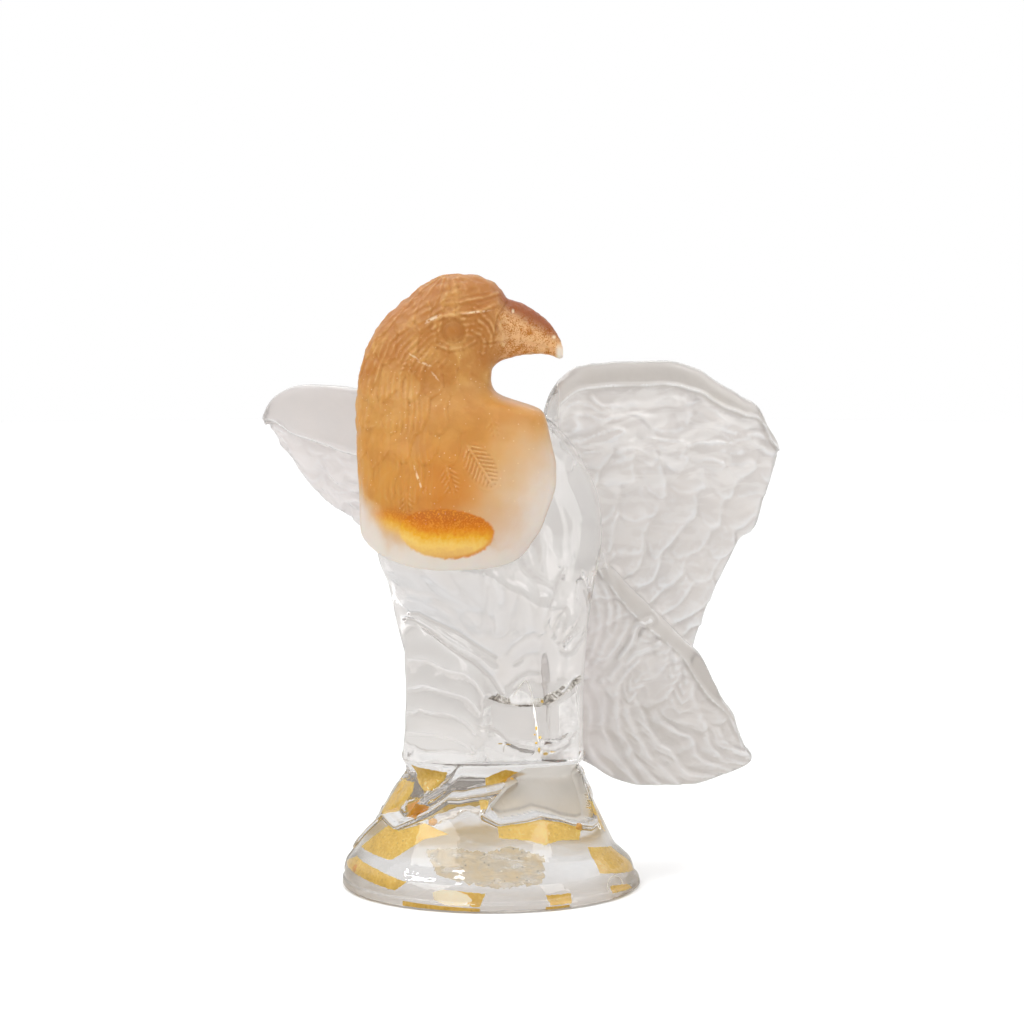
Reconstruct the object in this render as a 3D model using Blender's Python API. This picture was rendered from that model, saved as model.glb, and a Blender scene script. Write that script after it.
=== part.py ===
"""A crystal eagle: a clear cast bird with raised wings and a fanned tail, an amber head and breast set into
its front, and a flared rock base. Front is -Y, the head looks along +X, and the origin is the middle of the
base's underside. Metres."""

import math

import bmesh
import bpy
import numpy as np
from mathutils import Vector

# Driving dimensions
BASE_DIAMETER = 0.150
BASE_HEIGHT = 0.066
FOOT_RIM_HEIGHT = 0.004
LEDGE_STEP = 0.0040
RIM_STEP = 0.0010
SEAT_MARGIN = 0.0010
FIGURE_HEIGHT = 0.240
GLASS_GAP = 0.0003

# The bird is drawn 240 units high from its feet to its crown, and U is one of those units.
U = FIGURE_HEIGHT / 240

# What the bust's first cut leaves on for the last one, and how far the foot cutter passes the feet
BUST_SPARE = 0.8
FOOT_CUT_SPARE = 3

# Cutting planes of the pocket that the amber bust sits in, in units above the bird's feet
POCKET_BACK_Y = 8
POCKET_FLOOR_FRONT = (-59, 98.3)
POCKET_FLOOR_SLOPE = math.tan(math.radians(20))

# Mesh sizes
FIGURE_VOXEL = 0.0022
BUST_VOXEL = 0.0014
FIGURE_FACES = 6700
BUST_FACES = 2000
RING_POINTS = 40
BASE_SIDES = 40
SHARP_ANGLE = math.radians(32)
# Share of the rock's height by which its lower edge stands back above the broken edge
EDGE_RISE = 0.04

# The clear torso: height, left, right, front and back, from the feet to the shoulders
TORSO_ROWS = [
    (-16, -44, 46, -27, 34),
    (0, -44, 46, -27, 34),
    (17, -43, 46, -26, 34),
    (37, -42, 46, -27, 35),
    (50, -43, 47, -30, 36),
    (67, -47, 49, -33, 37),
    (87, -50, 52, -34, 38),
    (101, -53.5, 55, -28, 39),
    (112, -57, 56, -22, 40),
    (128, -60, 54, -17, 40),
    (143, -61, 48, -12, 40),
    (158, -59, 38, -8, 38),
    (166, -56, 29, -5, 35),
    (172, -50, 18, -2, 31),
    (178, -38, 2, 2, 25),
]
# The swell of the belly, which carries the bust
BELLY_ROWS = [
    (38, -36, 42, -20, 20),
    (48, -42, 45, -28, 20),
    (58, -45, 47, -34, 20),
    (67, -47, 48, -39, 20),
    (78, -49, 44, -46, 20),
    (88, -51, 32, -52, 20),
    (98, -55, 18, -56, 20),
    (108, -57, 15, -55, 20),
    (120, -58, 14, -50, 20),
    (132, -54, 4, -40, 16),
]
LEFT_LEG_ROWS = [
    (-16, -44, -4, -35, 6),
    (0, -44, -4, -35, 6),
    (17, -43, -3, -35, 6),
    (34, -42.5, 0, -37, 6),
    (48, -43, -2, -39, 6),
    (60, -43, -8, -38, 4),
    (70, -40, -16, -34, 2),
]
RIGHT_LEG_ROWS = [
    (-16, 22, 46, -29, 6),
    (0, 22, 46, -29, 6),
    (17, 23, 46, -28.5, 6),
    (34, 23, 46, -29, 6),
    (52, 20, 47, -32, 6),
    (70, 18, 48, -35, 4),
    (86, 22, 46, -29, 2),
    (96, 26, 40, -16, 0),
]
# The tail fan, which trails back and to the right: height, left, right, and the depth of its middle
TAIL_ROWS = [
    (112, 26, 50, 26),
    (102, 30, 54, 31),
    (94, 32, 59, 33),
    (83, 33, 68, 36),
    (73, 34, 78, 39),
    (62, 34, 89, 42),
    (51, 34, 100, 44),
    (43, 34, 108, 46.5),
    (30, 35, 114.5, 50),
    (19, 36, 120, 52.5),
    (11, 37, 126, 54.5),
    (4, 38, 128, 56),
    (-3, 39, 130, 58),
    (-8, 40, 133.5, 59),
    (-12, 44, 136.5, 60),
    (-15, 50, 136.5, 61),
    (-19, 56, 130, 61.5),
    (-23, 62, 119, 62.5),
    (-27, 74, 108, 63.5),
]
TAIL_THICKNESS = 11
TAIL_LEAN = 0.10
# Each wing by its span from the root: span, top, bottom
RIGHT_WING_COLUMNS = [
    (0, 172, 130),
    (3, 181, 114),
    (8, 187.5, 94),
    (17, 193.5, 78),
    (29, 195, 57),
    (39, 195.6, 41),
    (50, 195.7, 30),
    (60.5, 196, 24.5),
    (67, 195.6, 25),
    (76, 193, 33.5),
    (82, 191, 41.6),
    (87, 187.4, 57.6),
    (94, 183, 76),
    (101, 179.3, 91),
    (104.5, 176.7, 99),
    (108, 175.2, 103.6),
    (111.5, 173.6, 105),
    (115, 168.4, 109.7),
    (117.5, 162.7, 122),
    (120, 158.5, 130),
    (122, 156, 138),
    (123.5, 153, 145),
]
LEFT_WING_COLUMNS = [
    (0, 162, 98),
    (14, 172, 97),
    (28, 178, 99),
    (41, 180, 103),
    (53, 181.5, 108.5),
    (62, 182, 112),
    (73, 182.6, 116.5),
    (84, 182.6, 121.5),
    (94, 182, 129),
    (104, 179.6, 139),
    (111, 176.6, 147.5),
    (116, 173, 154),
    (119, 169, 159.5),
    (121.5, 164, 162),
]
RIGHT_WING_ROOT = (27, 21)
RIGHT_WING_SWEEP = math.radians(14)
LEFT_WING_ROOT = (-30, 1)
LEFT_WING_SWEEP = math.radians(136.5)
WING_THICK_TOP = 14
WING_THICK_BOTTOM = 8
WING_TRAIL = 0.11
# The amber neck and breast: height, left, right, front and back
NECK_ROWS = [
    (222, -44, -6, -30, 2),
    (213, -56.7, 0, -33, 4),
    (207, -59.7, 3, -34, 5),
    (200.5, -62.7, 2, -35, 6),
    (194.5, -64.2, 0.5, -36, 6.5),
    (188, -65.5, 0, -37, 7),
    (184, -65.8, 1, -38.5, 7.5),
    (181, -66, 4, -40, 8),
    (178, -66.2, 12, -41.5, 8.5),
    (175.5, -66.3, 20, -43, 9),
    (173, -66.3, 25.5, -44, 10),
    (168.5, -66.3, 27.4, -45.5, 11),
    (161, -66.3, 29, -47.5, 12),
    (153.5, -66.2, 30.8, -50, 13),
    (146, -66, 32.2, -52, 13),
    (138.5, -65.4, 32.2, -54, 13),
    (131, -65, 30.4, -56, 13),
    (123, -65, 27.4, -57.5, 13),
    (115, -64.8, 24.4, -58.5, 12),
    (109, -64.6, 20, -59, 10),
    (101, -64, 16.3, -59, 8),
    (90, -62, 10, -58, 4),
    (80, -60, 4, -56, 0),
]
# How far the left side of the neck and breast falls back, and the heights between which it does
NECK_LEFT_RECEDE = 10
RECEDE_HEIGHTS = (110, 150)
# The head and beak along its length: distance along X, top, bottom and half width
HEAD_COLUMNS = [
    (-60, 205, 180, 11),
    (-52.3, 218.8, 178, 15),
    (-44.8, 225.6, 178, 17),
    (-35, 233.4, 181, 18.5),
    (-27.6, 238.2, 183, 19),
    (-20.2, 240.2, 186, 19.5),
    (-12.8, 240.2, 188, 19.5),
    (-6.4, 239.7, 191, 18.5),
    (-0.5, 237.5, 193, 17),
    (3, 235, 196.5, 15),
    (5.9, 231.5, 198, 13),
    (8.4, 228, 198.8, 11.5),
    (11.3, 227.4, 199.6, 10.5),
    (14.3, 226.6, 200.3, 9.6),
    (18.2, 224.6, 200.8, 8.6),
    (22.2, 222, 201, 7.4),
    (26.1, 219, 201, 6.2),
    (29.1, 216.2, 200.6, 5),
    (31.6, 213, 199.2, 4),
    (33.8, 209, 198.4, 3),
    (35.6, 204.5, 199.2, 1.8),
]
HEAD_Y = -14

# Carving, in the bird's units. Rows of feathers lie below the smooth band along each wing's leading edge.
WING_BAND = 13
WING_EDGES = [10, 31, 42, 55, 67, 83, 100, 117, 138, 170]
WING_FEATHER_WIDTHS = [34, 26, 18, 18, 16, 15, 13, 12, 12]
WING_ROW_FLATNESS = 0.6
WING_RELIEF = 2.8
TAIL_PIVOT = (84, 88)
TAIL_EDGES = [0, 50, 82, 140]
TAIL_FEATHER_ANGLE = 10
TAIL_RELIEF = 2.6
LEG_EDGES = [0, 10, 20, 30, 40, 50, 60, 70, 84]
LEG_RELIEF = 2.2
BACK_EDGES = [0, 24, 42, 60, 80, 102, 126]
BACK_RELIEF = 2.4
NAPE_EDGES = [-4, 12, 28, 44, 60, 76, 92, 110, 130]
NAPE_RELIEF = 1.2
FOLD_DEPTH = 3.0
FOLD_WIDTH = 5
EYE = (-17.5, 214)
EYE_RADIUS = 5
BROW_LINE = [(-24, 222), (-12, 224), (0, 226.5), (7, 231)]
CERE_LINE = [(9, 228), (4, 220), (2, 210)]
MOUTH_LINE = [(-3, 206.5), (8, 207.5), (20, 206.5), (31, 203)]
NOSTRIL = (11, 222)
THIGH_LINE = [(-46, 72), (-36, 69), (-22, 59), (-9, 46), (0, 32)]
FLANK_LINE = [(35, 92), (28, 74), (25, 58), (29, 40), (23, 26)]

# The base's flare, from its underside to its top: share of its height, then of its radius at left and right
FLARE = [
    (0.00, 0.985, 0.985),
    (0.02, 1.000, 1.000),
    (0.09, 1.000, 0.975),
    (0.18, 0.985, 0.945),
    (0.23, 0.955, 0.900),
    (0.30, 0.915, 0.835),
    (0.40, 0.872, 0.790),
    (0.50, 0.832, 0.750),
    (0.63, 0.770, 0.695),
    (0.77, 0.690, 0.640),
    (0.88, 0.625, 0.612),
    (1.00, 0.595, 0.610),
]
# The broken upper edge of the flare: angle round the base in degrees, height as a share of the base's
LEDGE = [
    (-180, 0.31),
    (-168, 0.45),
    (-156, 0.61),
    (-142, 0.55),
    (-125, 0.68),
    (-117, 0.77),
    (-97, 0.80),
    (-91, 0.66),
    (-84, 0.61),
    (-61, 0.65),
    (-42, 0.57),
    (-25, 0.53),
    (-15, 0.72),
    (-4, 0.80),
    (18, 0.62),
    (45, 0.72),
    (80, 0.58),
    (110, 0.68),
    (145, 0.50),
    (165, 0.36),
]
SKIRT_LEVELS = 5
ROCK_LEVELS = 5


def pchip(knots, values, at):
    """A curve through the knots that never overshoots them."""
    x, y = np.asarray(knots, float), np.asarray(values, float)
    step = np.diff(x)
    slope = np.diff(y) / step
    tangent = np.empty_like(y)
    tangent[0], tangent[-1] = slope[0], slope[-1]
    product = slope[:-1] * slope[1:]
    total = np.where(product > 0, slope[:-1] + slope[1:], 1.0)
    tangent[1:-1] = np.where(product > 0, 2 * product / total, 0.0)
    at = np.clip(at, x[0], x[-1])
    i = np.clip(np.searchsorted(x, at, side="right") - 1, 0, len(x) - 2)
    t = (at - x[i]) / step[i]
    rise = (2 * t**3 - 3 * t**2 + 1) * y[i] + (3 * t**2 - 2 * t**3) * y[i + 1]
    bend = (t**3 - 2 * t**2 + t) * tangent[i] + (t**3 - t**2) * tangent[i + 1]
    return rise + bend * step[i]


def smooth_rows(rows, spacing):
    """The rows of a table, filled in to about that spacing along their first column."""
    rows = np.array(sorted(rows), float)
    count = max(2, int(round((rows[-1, 0] - rows[0, 0]) / spacing)) + 1)
    at = np.linspace(rows[0, 0], rows[-1, 0], count)
    return [[a, *(float(pchip(rows[:, 0], rows[:, c], a)) for c in range(1, rows.shape[1]))] for a in at]


def oval(power):
    """Cosine and sine round a superellipse of that power, for each point of a ring."""
    turn = np.linspace(0, 2 * math.pi, RING_POINTS, endpoint=False)
    c, s = np.cos(turn), np.sin(turn)
    return np.sign(c) * np.abs(c) ** (2 / power), np.sign(s) * np.abs(s) ** (2 / power)


def row_ring(row, power=2.3):
    """A level ring from a row of height, left, right, front and back."""
    z, left, right, front, back = row
    c, s = oval(power)
    x = (left + right) / 2 + (right - left) / 2 * c
    y = (front + back) / 2 + (back - front) / 2 * s
    return np.column_stack([x, y, np.full_like(x, z)]) * U


def neck_ring(row):
    """A level ring of the neck and breast: round in front, fuller at its right, square where it sits in the bird."""
    z, left, right, front, back = row
    round_c, round_s = oval(2.0)
    full_c, full_s = oval(3.0)
    back_c, back_s = oval(4.0)
    before = np.where(round_c > 0, (full_c, full_s), (round_c, round_s))
    c, s = np.where(round_s < 0, before, (back_c, back_s))
    x = (left + right) / 2 + (right - left) / 2 * c
    low, high = RECEDE_HEIGHTS
    fall = NECK_LEFT_RECEDE * np.clip(-c, 0, 1) ** 2 * np.clip((high - z) / (high - low), 0, 1)
    y = (front + back) / 2 + (back - front) / 2 * s + fall
    return np.column_stack([x, y, np.full_like(x, z)]) * U


def tail_ring(row):
    """A thin level ring of the tail, whose right side trails further back."""
    z, left, right, depth = row
    c, s = oval(3.2)
    x = (left + right) / 2 + (right - left) / 2 * c
    y = depth + TAIL_LEAN * (x - (left + right) / 2) + TAIL_THICKNESS / 2 * s
    return np.column_stack([x, y, np.full_like(x, z)]) * U


def wing_frame(sweep):
    """Level unit vectors along a wing and out of its back."""
    along = np.array([math.cos(sweep), math.sin(sweep)])
    side = math.copysign(1, along[0])
    return along, np.array([-along[1] * side, along[0] * side])


def wing_ring(column, root, sweep):
    """An upright ring across a wing: thick at the leading edge on top, thin where the feathers end."""
    span, top, bottom = column
    c, s = oval(2.6)
    z = (top + bottom) / 2 + (top - bottom) / 2 * c
    share = (z - bottom) / (top - bottom)
    half = (WING_THICK_BOTTOM + (WING_THICK_TOP - WING_THICK_BOTTOM) * share) / 2
    tip_thinning = 1 - 0.35 * max(0.0, (span - 90) / 35)
    back = half * s * tip_thinning + WING_TRAIL * (top - z)
    along, behind = wing_frame(sweep)
    x = root[0] + span * along[0] + back * behind[0]
    y = root[1] + span * along[1] + back * behind[1]
    return np.column_stack([x, y, z]) * U


def head_ring(column):
    """An upright ring across the head or beak."""
    x, top, bottom, half = column
    c, s = oval(2.1)
    z = (top + bottom) / 2 + (top - bottom) / 2 * c
    return np.column_stack([np.full_like(z, x), HEAD_Y + half * s, z]) * U


def add_skin(shape, rings):
    """Adds one closed skin through the rings."""
    loops = [[shape.verts.new(point) for point in ring] for ring in rings]
    for low, high in zip(loops, loops[1:]):
        for i in range(len(low)):
            j = (i + 1) % len(low)
            shape.faces.new((low[i], low[j], high[j], high[i]))
    shape.faces.new(reversed(loops[0]))
    shape.faces.new(loops[-1])


def mesh_of(shape, name):
    """A mesh with its faces pointing out."""
    bmesh.ops.recalc_face_normals(shape, faces=shape.faces)
    mesh = bpy.data.meshes.new(name)
    shape.to_mesh(mesh)
    shape.free()
    return mesh


def new_object(name, mesh, height=BASE_HEIGHT):
    """Puts a mesh in the scene, by default with its zero height on the base's seat."""
    thing = bpy.data.objects.new(name, mesh)
    bpy.context.scene.collection.objects.link(thing)
    thing.location.z = height
    return thing


def as_cutter(thing):
    """Marks an object as a cutter, which is no piece itself."""
    thing.hide_render = True
    thing.display_type = "WIRE"
    return thing


def pocket_floor(y):
    """Height of the pocket's sloping floor at a depth, in the bird's units."""
    return POCKET_FLOOR_FRONT[1] + POCKET_FLOOR_SLOPE * (y - POCKET_FLOOR_FRONT[0])


def prism(name, outline, left, right):
    """A cutter: an outline in depth and height, in the bird's units, drawn out from left to right."""
    shape = bmesh.new()
    loops = [[shape.verts.new(Vector((x, y, z)) * U) for y, z in outline] for x in (left, right)]
    shape.faces.new(loops[0])
    shape.faces.new(reversed(loops[1]))
    for i in range(len(outline)):
        j = (i + 1) % len(outline)
        shape.faces.new((loops[0][j], loops[0][i], loops[1][i], loops[1][j]))
    return as_cutter(new_object(name, mesh_of(shape, name)))


def bust_cutter(name, spare):
    """What is taken off the bust below and behind its pocket's planes. Spare leaves that many units on."""
    back, far = POCKET_BACK_Y + spare, 150
    lift = -spare * math.sqrt(1 + POCKET_FLOOR_SLOPE**2)
    corner = (back, pocket_floor(back) + lift)
    outline = [(back, 300), corner, (-far, pocket_floor(-far) + lift), (-far, -100), (far, -100), (far, 300)]
    return prism(name, outline, -200, 200)


def foot_cutter(name):
    """What is taken off under the bird's feet, so that they end flat just above the base."""
    top = GLASS_GAP / U
    back = TORSO_ROWS[0][4] + FOOT_CUT_SPARE
    outline = [(-150, top), (-150, -60), (back, -60), (back, top)]
    return prism(name, outline, -150, TORSO_ROWS[0][2] + SEAT_MARGIN / U)


def add_modifier(thing, kind, **values):
    """Adds a modifier and sets its values."""
    modifier = thing.modifiers.new(kind.title(), kind)
    for key, value in values.items():
        setattr(modifier, key, value)


def shape_of(thing):
    """A mesh of the object as its modifiers leave it."""
    graph = bpy.context.evaluated_depsgraph_get()
    return bpy.data.meshes.new_from_object(thing.evaluated_get(graph))


def melted(name, shape, voxel, passes, cutter=None):
    """One skin round overlapping lofts, cut if asked, with its edges melted soft like cast glass."""
    rough = new_object(name + "_rough", mesh_of(shape, name))
    add_modifier(rough, "REMESH", mode="VOXEL", voxel_size=voxel)
    if cutter:
        add_modifier(rough, "BOOLEAN", operation="DIFFERENCE", object=cutter)
        add_modifier(rough, "REMESH", mode="VOXEL", voxel_size=voxel)
    add_modifier(rough, "SMOOTH", factor=0.5, iterations=passes)
    mesh = shape_of(rough)
    bpy.data.objects.remove(rough)
    return mesh


def carve(mesh, relief):
    """Moves each point along its normal by what relief gives for it. Relief works in the bird's units."""
    count = len(mesh.vertices)
    place, normal = np.empty(count * 3), np.empty(count * 3)
    mesh.vertices.foreach_get("co", place)
    mesh.vertices.foreach_get("normal", normal)
    place, normal = place.reshape(-1, 3), normal.reshape(-1, 3)
    place += normal * (relief(place / U, normal) * U)[:, None]
    mesh.vertices.foreach_set("co", place.ravel())
    mesh.update()


def fade(value, low, high):
    """0 below low and 1 above high, with a smooth rise between."""
    t = np.clip((value - low) / (high - low), 0, 1)
    return t * t * (3 - 2 * t)


def shingles(along, down, edges, widths):
    """Overlapping rows of feathers. Each rises from its root to its rounded tip, and from one side to the
    other, and drops to the feathers that it covers."""
    height = np.zeros_like(down)
    for k in reversed(range(len(widths))):
        cell = (along / widths[k] + 0.5 * (k % 2)) % 1.0 - 0.5
        tip = edges[k + 1] - 0.4 * widths[k] * (2 * cell) ** 2
        share = np.clip((down - edges[k]) / (edges[k + 1] - edges[k]), 0, 1)
        lapped = 0.8 * (cell + 0.5) * fade(0.5 - cell, 0, 0.12)
        height = np.where(down < tip, 0.6 * share + lapped, height)
    return height


def groove(across, up, points, width):
    """1 along a line through the points, falling to 0 at width from it."""
    nearest = np.full_like(across, 1e9)
    for (ax, az), (bx, bz) in zip(points, points[1:]):
        dx, dz = bx - ax, bz - az
        t = np.clip(((across - ax) * dx + (up - az) * dz) / (dx * dx + dz * dz), 0, 1)
        nearest = np.minimum(nearest, np.hypot(across - ax - t * dx, up - az - t * dz))
    return 1 - fade(nearest, 0, width)


def wing_relief(place, columns, root, sweep):
    """Feather relief on a wing, and how surely each point is on the wing and not on the body."""
    table = np.array(sorted(columns), float)
    along, behind = wing_frame(sweep)
    span = (place[:, :2] - np.array(root)) @ along
    top = pchip(table[:, 0], table[:, 1], span)
    down = top - place[:, 2]
    off_middle = np.abs((place[:, :2] - np.array(root)) @ behind - WING_TRAIL * down)
    on_sheet = 1 - fade(off_middle, WING_THICK_TOP / 2 + 1, WING_THICK_TOP / 2 + 4)
    row_down = down + WING_ROW_FLATNESS * (table[:, 1].max() - top)
    lean = 0.004 * np.clip(row_down - 60, 0, None) ** 2
    feathers = shingles(span + lean, row_down, WING_EDGES, WING_FEATHER_WIDTHS)
    band = 1 - fade(down, WING_BAND - 1.5, WING_BAND + 1.5)
    height = WING_RELIEF * (feathers * (1 - band) - 0.6 + band)
    return height, on_sheet * fade(span, 2, 8)


def tail_relief(place):
    """Long feathers that fan out, in overlapping lengths."""
    x, z = place[:, 0] - TAIL_PIVOT[0], TAIL_PIVOT[1] - place[:, 2]
    turn = np.degrees(np.arctan2(x, z))
    return TAIL_RELIEF * (shingles(turn, np.hypot(x, z), TAIL_EDGES, [TAIL_FEATHER_ANGLE] * 3) - 0.6)


def bird_relief(place, normal):
    """All the carving of the clear bird."""
    x, y, z = place.T
    front = fade(-normal[:, 1], 0.1, 0.5)
    back = fade(normal[:, 1], 0.1, 0.5)
    facing = np.maximum(front, back)

    right, right_on = wing_relief(place, RIGHT_WING_COLUMNS, RIGHT_WING_ROOT, RIGHT_WING_SWEEP)
    left, left_on = wing_relief(place, LEFT_WING_COLUMNS, LEFT_WING_ROOT, LEFT_WING_SWEEP)
    _, behind = wing_frame(LEFT_WING_SWEEP)
    left_facing = fade(np.abs(normal[:, :2] @ behind), 0.1, 0.5)

    tail = np.array(sorted(TAIL_ROWS), float)
    tail_right = pchip(tail[:, 0], tail[:, 2], z)
    tail_left = pchip(tail[:, 0], tail[:, 1], z)
    tail_depth = pchip(tail[:, 0], tail[:, 3], z) + TAIL_LEAN * (x - (tail_left + tail_right) / 2)
    on_tail = fade(x, 48, 54) * (1 - fade(z, 86, 100)) * (x < tail_right + 3)
    on_tail = on_tail * (y < tail_depth + np.where(normal[:, 1] < 0, -1.5, 9))
    inside_band = fade(tail_right - x, 5, 8)
    tail_carving = tail_relief(place) * inside_band + 0.4 * TAIL_RELIEF * (1 - inside_band)

    on_right = right_on * (1 - on_tail) * np.where(normal[:, 1] > 0, fade(x, 40, 50), 1)
    on_left = left_on * fade(-x, 40, 50)
    height = right * on_right * facing + left * on_left * left_facing + tail_carving * on_tail * facing

    trousers = shingles(x + 3, 80 - z, LEG_EDGES, [40] * 8)
    on_leg = front * (1 - fade(x, -8, -2)) * (1 - fade(z, 54, 66)) * fade(z, 2, 6) * (y < -14)
    height = height + LEG_RELIEF * (trousers - 0.6) * on_leg

    mantle = shingles(x, 190 - z, BACK_EDGES, [17] * 6)
    on_back = back * (y > 18) * fade(z, 64, 74) * (1 - fade(np.abs(x), 40, 50))
    height = height + BACK_RELIEF * (mantle - 0.6) * on_back

    folds = np.maximum(groove(x, z, THIGH_LINE, FOLD_WIDTH), groove(x, z, FLANK_LINE, FOLD_WIDTH))
    height = height - FOLD_DEPTH * front * (y < -10) * folds
    return height


def bust_relief(place, normal):
    """All the carving of the amber head and breast."""
    x, y, z = place.T
    side = fade(np.abs(normal[:, 1]), 0.25, 0.6)
    round_neck = 45 * np.arctan2(x + 20, -(y + 15))
    plumage = shingles(round_neck, 240 - z, NAPE_EDGES, [15] * 8)
    plumed = fade(-x, -4, 12) * fade(z, 112, 135)
    height = NAPE_RELIEF * (plumage - 0.6) * plumed
    eye = np.hypot(x - EYE[0], z - EYE[1]) / EYE_RADIUS
    height = height * (1 - side * (1 - fade(eye, 1.4, 2.4)))
    ball = 1.3 * (1 - fade(eye, 0.3, 1.0))
    socket = 1.1 * np.exp(-(((eye - 1.2) / 0.28) ** 2))
    brow = 1.5 * groove(x, z, BROW_LINE, 4)
    cere = 0.8 * groove(x, z, CERE_LINE, 2)
    mouth = 0.9 * groove(x, z, MOUTH_LINE, 1.8)
    nostril = 0.9 * (1 - fade(np.hypot(x - NOSTRIL[0], z - NOSTRIL[1]), 0.5, 2))
    return height + side * (ball - socket + brow - cere - mouth - nostril)


def material(name, colour, roughness, transmission=0.0, alpha=1.0):
    """A plain glass material."""
    made = bpy.data.materials.new(name)
    made.use_nodes = True
    shader = made.node_tree.nodes["Principled BSDF"]
    shader.inputs["Base Color"].default_value = (*colour, 1)
    shader.inputs["Roughness"].default_value = roughness
    shader.inputs["Metallic"].default_value = 0
    shader.inputs["Transmission Weight"].default_value = transmission
    made.diffuse_color = (*colour, alpha)
    return made


def finished(name, mesh, faces, cutters, glass):
    """The sculpted mesh as a named piece, with few faces and crisp flats where it meets its neighbours."""
    mesh.materials.clear()
    mesh.materials.append(glass)
    mesh.shade_smooth()
    piece = new_object(name, mesh)
    triangles = sum(len(face.vertices) - 2 for face in mesh.polygons)
    add_modifier(piece, "DECIMATE", ratio=min(1.0, faces / triangles), use_collapse_triangulate=True)
    for cutter in cutters:
        add_modifier(piece, "BOOLEAN", operation="DIFFERENCE", object=cutter, solver="MANIFOLD")
    return piece


def clear_bird(glass, bust):
    """The clear casting: torso, legs, tail and both wings in one, with the pocket for the bust."""
    shape = bmesh.new()
    for rows in (TORSO_ROWS, BELLY_ROWS, LEFT_LEG_ROWS, RIGHT_LEG_ROWS):
        add_skin(shape, [row_ring(row) for row in smooth_rows(rows, 4)])
    add_skin(shape, [tail_ring(row) for row in smooth_rows(TAIL_ROWS, 3)])
    for columns, root, sweep in (
        (RIGHT_WING_COLUMNS, RIGHT_WING_ROOT, RIGHT_WING_SWEEP),
        (LEFT_WING_COLUMNS, LEFT_WING_ROOT, LEFT_WING_SWEEP),
    ):
        add_skin(shape, [wing_ring(column, root, sweep) for column in smooth_rows(columns, 3)])
    mesh = melted("bird", shape, FIGURE_VOXEL, 5)
    carve(mesh, bird_relief)
    pocket = as_cutter(new_object("pocket_cutter", shape_of(bust)))
    add_modifier(pocket, "DISPLACE", strength=1.5 * GLASS_GAP, mid_level=0)
    return finished("eagle_body_and_wings", mesh, FIGURE_FACES, [pocket, foot_cutter("foot_cutter")], glass)


def amber_bust(glass):
    """The amber casting: head, neck and breast."""
    shape = bmesh.new()
    add_skin(shape, [neck_ring(row) for row in smooth_rows(NECK_ROWS, 3)])
    add_skin(shape, [head_ring(column) for column in smooth_rows(HEAD_COLUMNS, 2)])
    mesh = melted("bust", shape, BUST_VOXEL, 4, bust_cutter("bust_rough_cutter", BUST_SPARE))
    carve(mesh, bust_relief)
    return finished("amber_head_and_breast", mesh, BUST_FACES, [bust_cutter("bust_cutter", 0)], glass)


def seat_radius(angle):
    """Radius of the base's top, which follows the bird's feet with a small margin."""
    _, left, right, _, back = TORSO_ROWS[1]
    front = LEFT_LEG_ROWS[1][3]
    c, s = math.cos(angle), math.sin(angle)
    across = (right if c > 0 else -left) * U + SEAT_MARGIN
    deep = (back if s > 0 else -front) * U + SEAT_MARGIN
    return ((abs(c) / across) ** 2.6 + (abs(s) / deep) ** 2.6) ** (-1 / 2.6)


def base_radius(angle, height):
    """Radius of the flare at an angle and height, from a round foot to the shape of the bird's feet."""
    share = height / BASE_HEIGHT
    heights, lefts, rights = zip(*FLARE)
    rightness = (1 + math.cos(angle)) / 2
    radii = [left + (right - left) * rightness for left, right in zip(lefts, rights)]
    round_radius = float(pchip(heights, radii, share)) * BASE_DIAMETER / 2
    top_round = radii[-1] * BASE_DIAMETER / 2
    morph = share**1.5
    return round_radius + (seat_radius(angle) - top_round) * morph


def ledge_height(angle):
    """Height of the flare's broken upper edge, all the way round."""
    degrees = [a for a, _ in LEDGE] + [LEDGE[0][0] + 360]
    shares = [h for _, h in LEDGE] + [LEDGE[0][1]]
    return float(pchip(degrees, shares, math.degrees(angle))) * BASE_HEIGHT


def on_flare(angle, height, inset=0.0):
    """A point of the base's side, moved in towards the middle by the inset."""
    radius = base_radius(angle, height) - inset
    return Vector((radius * math.cos(angle), radius * math.sin(angle), height))


def skirt_point(angle, share):
    """A point of the polished skirt: share 0 is above the foot rim, 1 is the broken edge."""
    return on_flare(angle, FOOT_RIM_HEIGHT + (ledge_height(angle) - FOOT_RIM_HEIGHT) * share, RIM_STEP)


def rock_point(angle, share):
    """A point of the rough rock: share 0 is just inside the broken edge, 1 is the seat."""
    low = ledge_height(angle)
    lumps = 1 + 0.5 * math.sin(5 * angle + 9 * share) * math.sin(3 * angle - 4 * share)
    rise = EDGE_RISE + (1 - EDGE_RISE) * share
    return on_flare(angle, low + (BASE_HEIGHT - low) * rise, LEDGE_STEP * lumps * (1 - share))


def rock_base(glass):
    """The base: a polished skirt on a foot rim, its broken edge, and rock above it up to the bird's feet."""
    shape = bmesh.new()
    angles = [-math.pi + 2 * math.pi * i / BASE_SIDES for i in range(BASE_SIDES)]
    rings = [
        [on_flare(angle, 0.0, RIM_STEP) for angle in angles],
        [on_flare(angle, RIM_STEP) for angle in angles],
        [on_flare(angle, FOOT_RIM_HEIGHT) for angle in angles],
    ]
    for level in range(1, SKIRT_LEVELS + 1):
        rings.append([skirt_point(angle, level / SKIRT_LEVELS) for angle in angles])
    for level in range(ROCK_LEVELS + 1):
        rings.append([rock_point(angle, level / ROCK_LEVELS) for angle in angles])
    add_skin(shape, rings)
    mesh = mesh_of(shape, "base")
    mesh.materials.append(glass)
    mesh.shade_smooth()
    mesh.set_sharp_from_angle(angle=SHARP_ANGLE)
    return new_object("rock_base", mesh, 0.0)


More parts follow.
